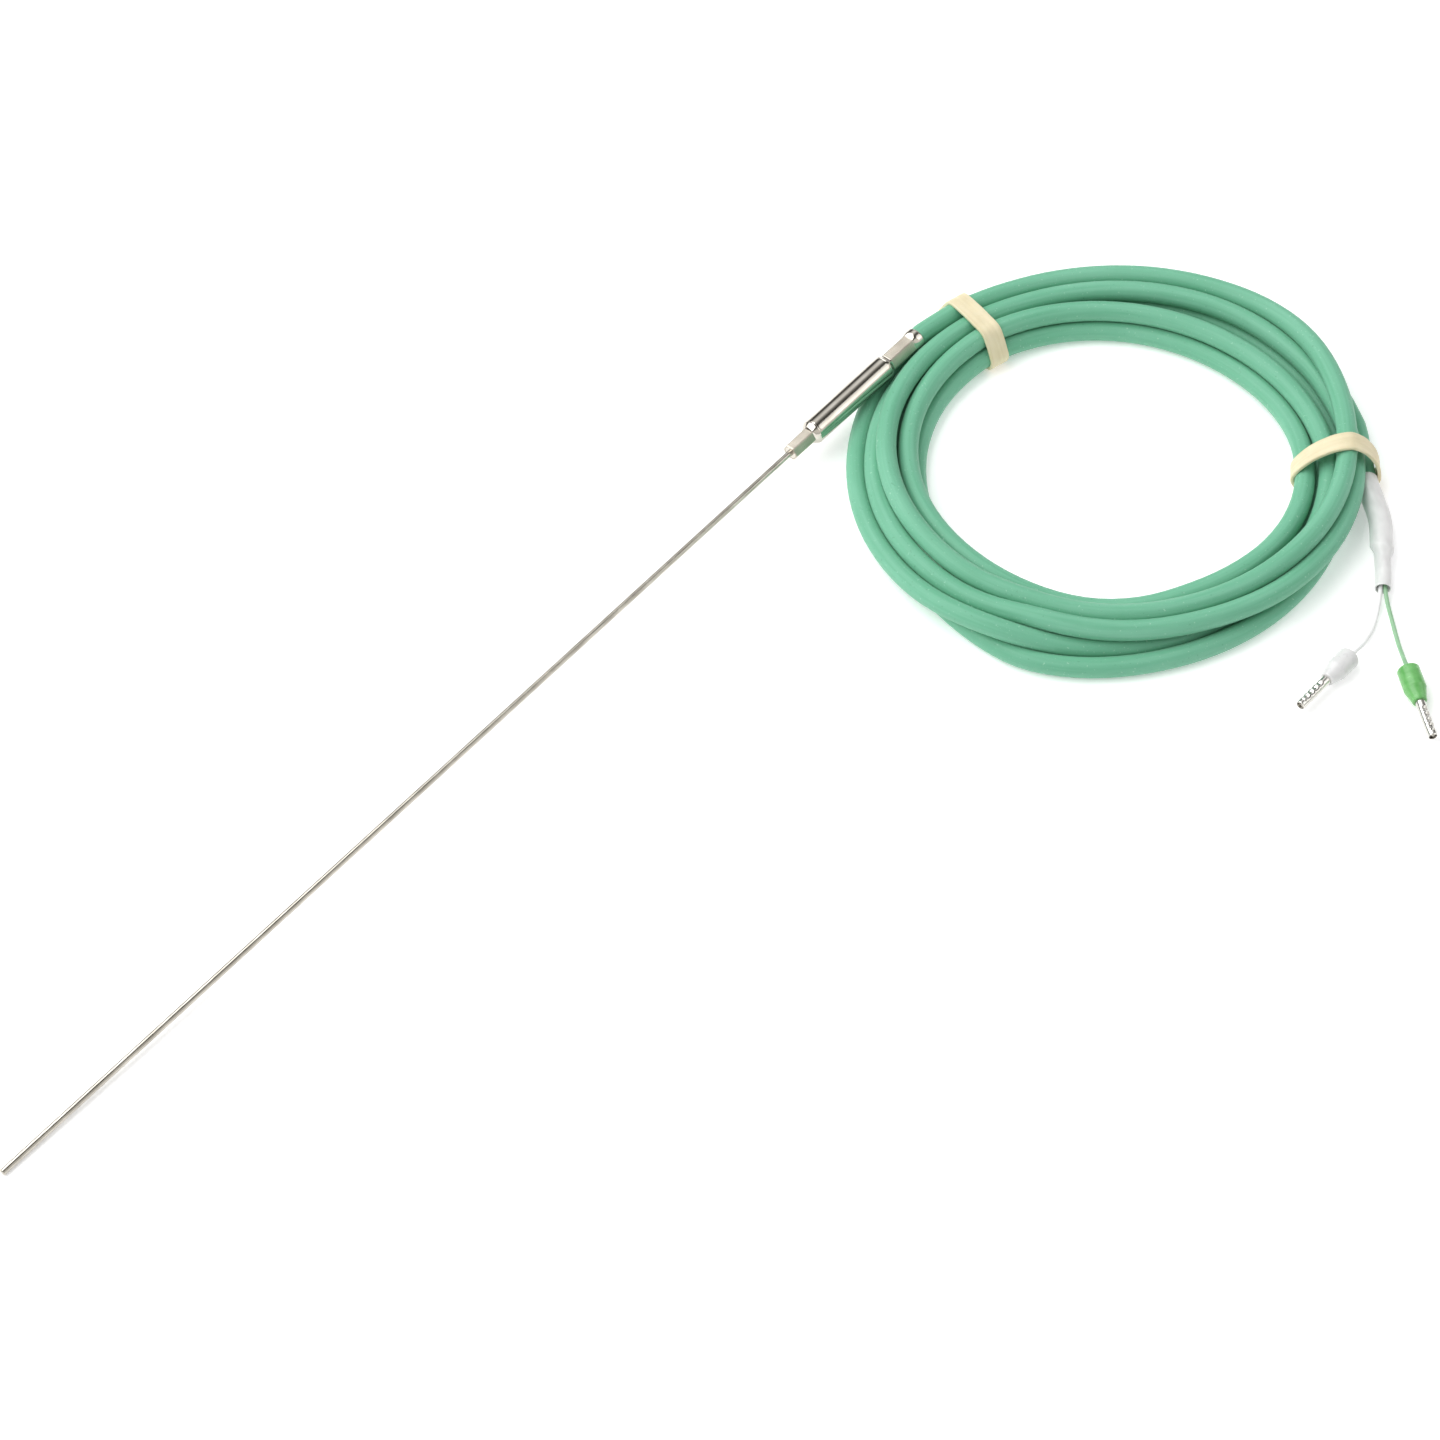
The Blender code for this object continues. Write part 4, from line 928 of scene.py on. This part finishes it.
shrink_white, shader = new_material("shrunk_white_polyolefin", Roughness=0.38, IOR=1.5)
wrinkles = grain(shrink_white, 0.8 * MM, (0.35, 1.6, 1), use_map=True, detail=3)
creases = grain(shrink_white, 2.2 * MM, (1.4, 0.6, 1), use_map=True, detail=1)
coat(shrink_white, shader, blend_colours(shrink_white, creases, "DCDCDB", "E6E6E5"),
     rescale(shrink_white, wrinkles, 0.3, 0.46))
see_into(shader, 0.15, (1.0, 1.0, 1.0), 0.6 * MM)
bumps(shrink_white, shader, [(creases, 0.12 * MM, 0.5), (wrinkles, 0.03 * MM, 0.5)])
dress(shrink, shrink_white)

# %% [markdown]
# ## Natural rubber
# The bands are cut from calendered natural rubber: cream, matt, with long shallow folds from being
# packed flat. The inner side, towards the strands, takes a second, darker brown copy of the rubber:
# that tone is painted shade, the shade that falls between the band and the strands.

# %% Rubber bands
def natural_rubber(name, pale, deep):
    """Cream rubber with folds that run along the band."""
    material, surface = new_material(name, Roughness=0.6, IOR=1.52)
    folds = grain(material, 1.1 * MM, (1, 0.06, 1), use_map=True, detail=2)
    cloud = grain(material, 4 * MM)
    colour = mix_colours(material, 0.5, blend_colours(material, folds, deep, pale, 0.32, 0.6),
                         blend_colours(material, cloud, deep, pale, 0.25, 0.6))
    powder = grain(material, 0.35 * MM, detail=1)
    colour = mix_colours(material, rescale(material, powder, 0.0, 0.3, 0.66, 0.76), colour, shade("EFE8D4"))
    coat(material, surface, colour, rescale(material, folds, 0.5, 0.7))
    see_into(surface, 0.15, (1.0, 0.7, 0.4), 0.7 * MM)
    bumps(material, surface, [(folds, 0.12 * MM, 0.6), (powder, 0.012 * MM, 0.5)])
    return material


rubber = natural_rubber("cut_natural_rubber", "E8DDBC", "D8CBA4")
# A darker brown copy for the bands' inner side: painted shade, not a colour of the rubber.
rubber_painted_shade = natural_rubber("cut_natural_rubber_painted_shade", "BEA97F", "9B7E4A")
for band in (first_band, second_band):
    dress(band, rubber, rubber_painted_shade)

# %% [markdown]
# ## Metals
# The sheath is drawn stainless alloy, with hair-fine lines along it. The sleeve is turned brass with
# bright nickel plate: nearly a mirror, crossed by fine scratches, and rougher where the crimping
# jaws bit. The pins are copper tube with a soft grey-white tin plate.

# %% Sheath steel, nickel and tin
def bright_metal(name, first, second, low, high, along=0.04, scratch=0.12 * MM, depth=0.006 * MM):
    """A metal with fine scratches. along under 1 stretches them along the piece, over 1 round it."""
    material, surface = new_material(name, Metallic=1.0)
    lines = grain(material, scratch, (1, along, 1), use_map=True, detail=4, roughness=0.7)
    cloud = grain(material, 5 * MM, detail=2)
    coat(material, surface, blend_colours(material, cloud, first, second, 0.3, 0.7),
         rescale(material, lines, low, high, 0.35, 0.7))
    bumps(material, surface, [(lines, depth, 0.5)])
    return material


drawn_steel = bright_metal("drawn_stainless_sheath", "B3AEA4", "CBC6BC", 0.2, 0.36, 0.02)
polished_nickel = bright_metal("polished_nickel_plate", "C9C3B8", "DAD5CB", 0.07, 0.22, 0.05, 0.2 * MM)
pressed_nickel = bright_metal("pressed_nickel_plate", "B5AEA1", "CFC8BB", 0.26, 0.5, 3.0, 0.22 * MM,
                              0.05 * MM)
tin_plate = bright_metal("tinned_copper", "CFCDC8", "E4E2DD", 0.12, 0.3, 0.6, 0.3 * MM, 0.02 * MM)
bare_strands = bright_metal("tinned_strands", "A9A49B", "C4C0B7", 0.25, 0.4, 0.1)
dress(sheath, drawn_steel)
dress(sleeve, polished_nickel, pressed_nickel)
for face in sleeve.data.polygons:
    place = (face.center - probe_tip).dot(probe_along)
    if place < nose_end - 0.1 * MM or crimp_start + 0.1 * MM < place < mouth_start:
        face.material_index = 1
for side_name in pins:
    dress(pins[side_name], tin_plate)
    dress(strands[side_name], bare_strands)

# %% [markdown]
# ## What is inside
# The pieces inside the sheath and the sleeve stay as the CAD model made them, and are hidden by what
# is round them. Each still gets the finish of its real material: packed magnesia is a chalky white
# powder, potting epoxy is glossy black, and the thermoelement alloys are dull drawn wire.

# %% Finishes of the inner pieces
magnesia = moulded("packed_magnesia_powder", "E4E1D8", "F0EEE6", 0.85, 1.2 * MM, 0.0, 0.03 * MM)
epoxy = moulded("cast_black_epoxy", "1B1A19", "262422", 0.3, 2 * MM, 0.0)
splice_white = moulded("extruded_white_tube", "E2E0DA", "EFEDE8", 0.45, 2 * MM)
nickel_chromium = bright_metal("drawn_nickel_chromium", "A39B8C", "B6AEA0", 0.3, 0.45)
nickel_aluminium = bright_metal("drawn_nickel_aluminium", "8F8F90", "A4A4A4", 0.3, 0.45)
inner_finishes = {
    "tip_weld_plug": drawn_steel, "magnesia_tip_fill": magnesia, "magnesia_core": magnesia,
    "hot_junction": nickel_chromium, "cold_end_seal": epoxy, "potting_compound": epoxy,
    "sheath_bush": polished_nickel, "cable_end_in_sleeve": silicone,
}
for side_name, alloy, cover in (("positive", nickel_chromium, core_green),
                                ("negative", nickel_aluminium, core_white)):
    inner_finishes[side_name + "_thermoelement"] = alloy
    inner_finishes[side_name + "_splice"] = alloy
    inner_finishes[side_name + "_conductor"] = alloy
    inner_finishes[side_name + "_splice_tube"] = splice_white
    inner_finishes[side_name + "_core_in_sleeve"] = cover
for node_name, finish in inner_finishes.items():
    dress(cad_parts[node_name], finish)
print("inner pieces finished:", len(inner_finishes))

# %% [markdown]
# ## Table, light and air
# The thermocouple lies on a white light table, which glows faintly, so that hardly a shadow shows.
# Metal shows only what it reflects, and plain white surroundings would make it look like paint. So
# the sky has two faces. Matt surfaces are lit by plain white. Polished ones mirror a studio with
# light and dark panels that run along the probe, given by the angle round the probe from straight
# up towards the front, and these draw the long stripes on the sleeve and the sheath.

# %% Table
bm = bmesh.new()
bmesh.ops.create_grid(bm, x_segments=8, y_segments=8, size=2.5)
table = new_piece("table", bm)
table.location = (0.0, 0.0, -0.02 * MM)
paper, shader = new_material("matt_white_paper", Roughness=0.9)
fibre = grain(paper, 6 * MM)
link(paper, blend_colours(paper, fibre, "FBFBFB", "FEFEFE"), shader.inputs["Base Color"])
shader.inputs["Specular IOR Level"].default_value = 0.1
shader.inputs["Emission Color"].default_value = shade("FFFFFF")
shader.inputs["Emission Strength"].default_value = 0.25
bumps(paper, shader, [(grain(paper, 0.8 * MM), 0.01 * MM, 0.2)])
dress(table, paper)

# %% Studio light
world = bpy.data.worlds.new("studio")
world.use_nodes = True
bpy.context.scene.world = world
sky = add_node(world, "ShaderNodeTexCoord").outputs["Generated"]
sky_parts = add_node(world, "ShaderNodeSeparateXYZ", links={"Vector": sky})
towards_front = add_node(world, "ShaderNodeMath", {0: 0.0}, {1: sky_parts.outputs["Y"]}, operation="SUBTRACT")
round_probe = add_node(world, "ShaderNodeMath", operation="ARCTAN2",
                       links={0: towards_front.outputs[0], 1: sky_parts.outputs["Z"]})
place_on_sky = add_node(world, "ShaderNodeMapRange",
                        {"From Min": -math.pi / 2, "From Max": math.pi / 2},
                        {"Value": round_probe.outputs[0]})
sky_ramp = add_node(world, "ShaderNodeValToRGB", links={"Fac": place_on_sky.outputs["Result"]})
sky_ramp.color_ramp.interpolation = "B_SPLINE"
stops = ((-90, "9A9A9A"), (-74, "42413F"), (-60, "42413F"), (-50, "D8D8D8"), (-38, "FFFFFF"), (-24, "FFFFFF"),
         (-12, "8E8D8A"), (0, "504F4C"), (12, "3E3D3A"), (24, "5A5955"), (36, "C0C0BE"), (50, "F4F2EC"),
         (66, "F4F2EC"), (78, "E0E0DE"), (90, "D2D2D0"))
ramp_stops = sky_ramp.color_ramp.elements
ramp_stops[0].color = shade(stops[0][1])
ramp_stops[1].color = shade(stops[-1][1])
for degrees, code in stops[1:-1]:
    ramp_stops.new((degrees + 90) / 180).color = shade(code)
seen_sharp = add_node(world, "ShaderNodeLightPath").outputs["Is Glossy Ray"]
white_sky = add_node(world, "ShaderNodeBackground", {"Color": shade("FFFFFF"), "Strength": 0.5})
striped_sky = add_node(world, "ShaderNodeBackground", {"Strength": 0.95},
                       {"Color": sky_ramp.outputs["Color"]})
either_sky = add_node(world, "ShaderNodeMixShader", links={0: seen_sharp, 1: white_sky.outputs[0],
                                                           2: striped_sky.outputs[0]})
link(world, either_sky.outputs[0], world.node_tree.nodes["World Output"].inputs["Surface"])


def lamp(name, place, target, size, power):
    """A soft rectangular lamp that points at the target."""
    data = bpy.data.lights.new(name, "AREA")
    data.shape = "RECTANGLE"
    data.size, data.size_y = size
    data.energy = power
    light = bpy.data.objects.new(name, data)
    light.location = place
    light.rotation_mode = "QUATERNION"
    light.rotation_quaternion = (Vector(target) - Vector(place)).to_track_quat("-Z", "Y")
    bpy.context.scene.collection.objects.link(light)


lamp("key_lamp", (-0.35, 0.75, 1.2), (0.05, -0.03, 0), (2.0, 1.6), 27.0)
lamp("fill_lamp", (0.9, -0.7, 0.9), (0.05, -0.03, 0), (0.8, 0.8), 2.0)
bpy.context.scene.view_settings.view_transform = "Standard"

# %% [markdown]
# ## The pieces on the body
# Each piece rides on the one body, and the CAD solids that it stands for are hidden.

# %% Riding, and what each piece replaces
handover = [
    (cable, "cable_green", ("cable_lead", "cable_coil", "cable_tail")),
    (shrink, "shrink_white", ("heat_shrink",)),
    (first_band, "band_rubber", ("rubber_band_1",)),
    (second_band, "band_rubber", ("rubber_band_2",)),
    (sheath, "sheath_steel", ("sheath_tube",)),
    (sleeve, "sleeve_nickel", ("transition_sleeve",)),
]
for side_name, colour_name in (("positive", "green"), ("negative", "white")):
    handover += [
        (core_pieces[side_name], "core_" + colour_name, (side_name + "_core",)),
        (collars[side_name], "collar_" + colour_name, (side_name + "_collar",)),
        (pins[side_name], "tinned_copper", (side_name + "_pin",)),
        (strands[side_name], "tinned_copper", (side_name + "_strands",)),
    ]
for piece, slot_name, nodes in handover:
    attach(piece, "root")
    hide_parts(*nodes)

# %% Cords
for side_name, core in core_pieces.items():
    line = core_lines[side_name]
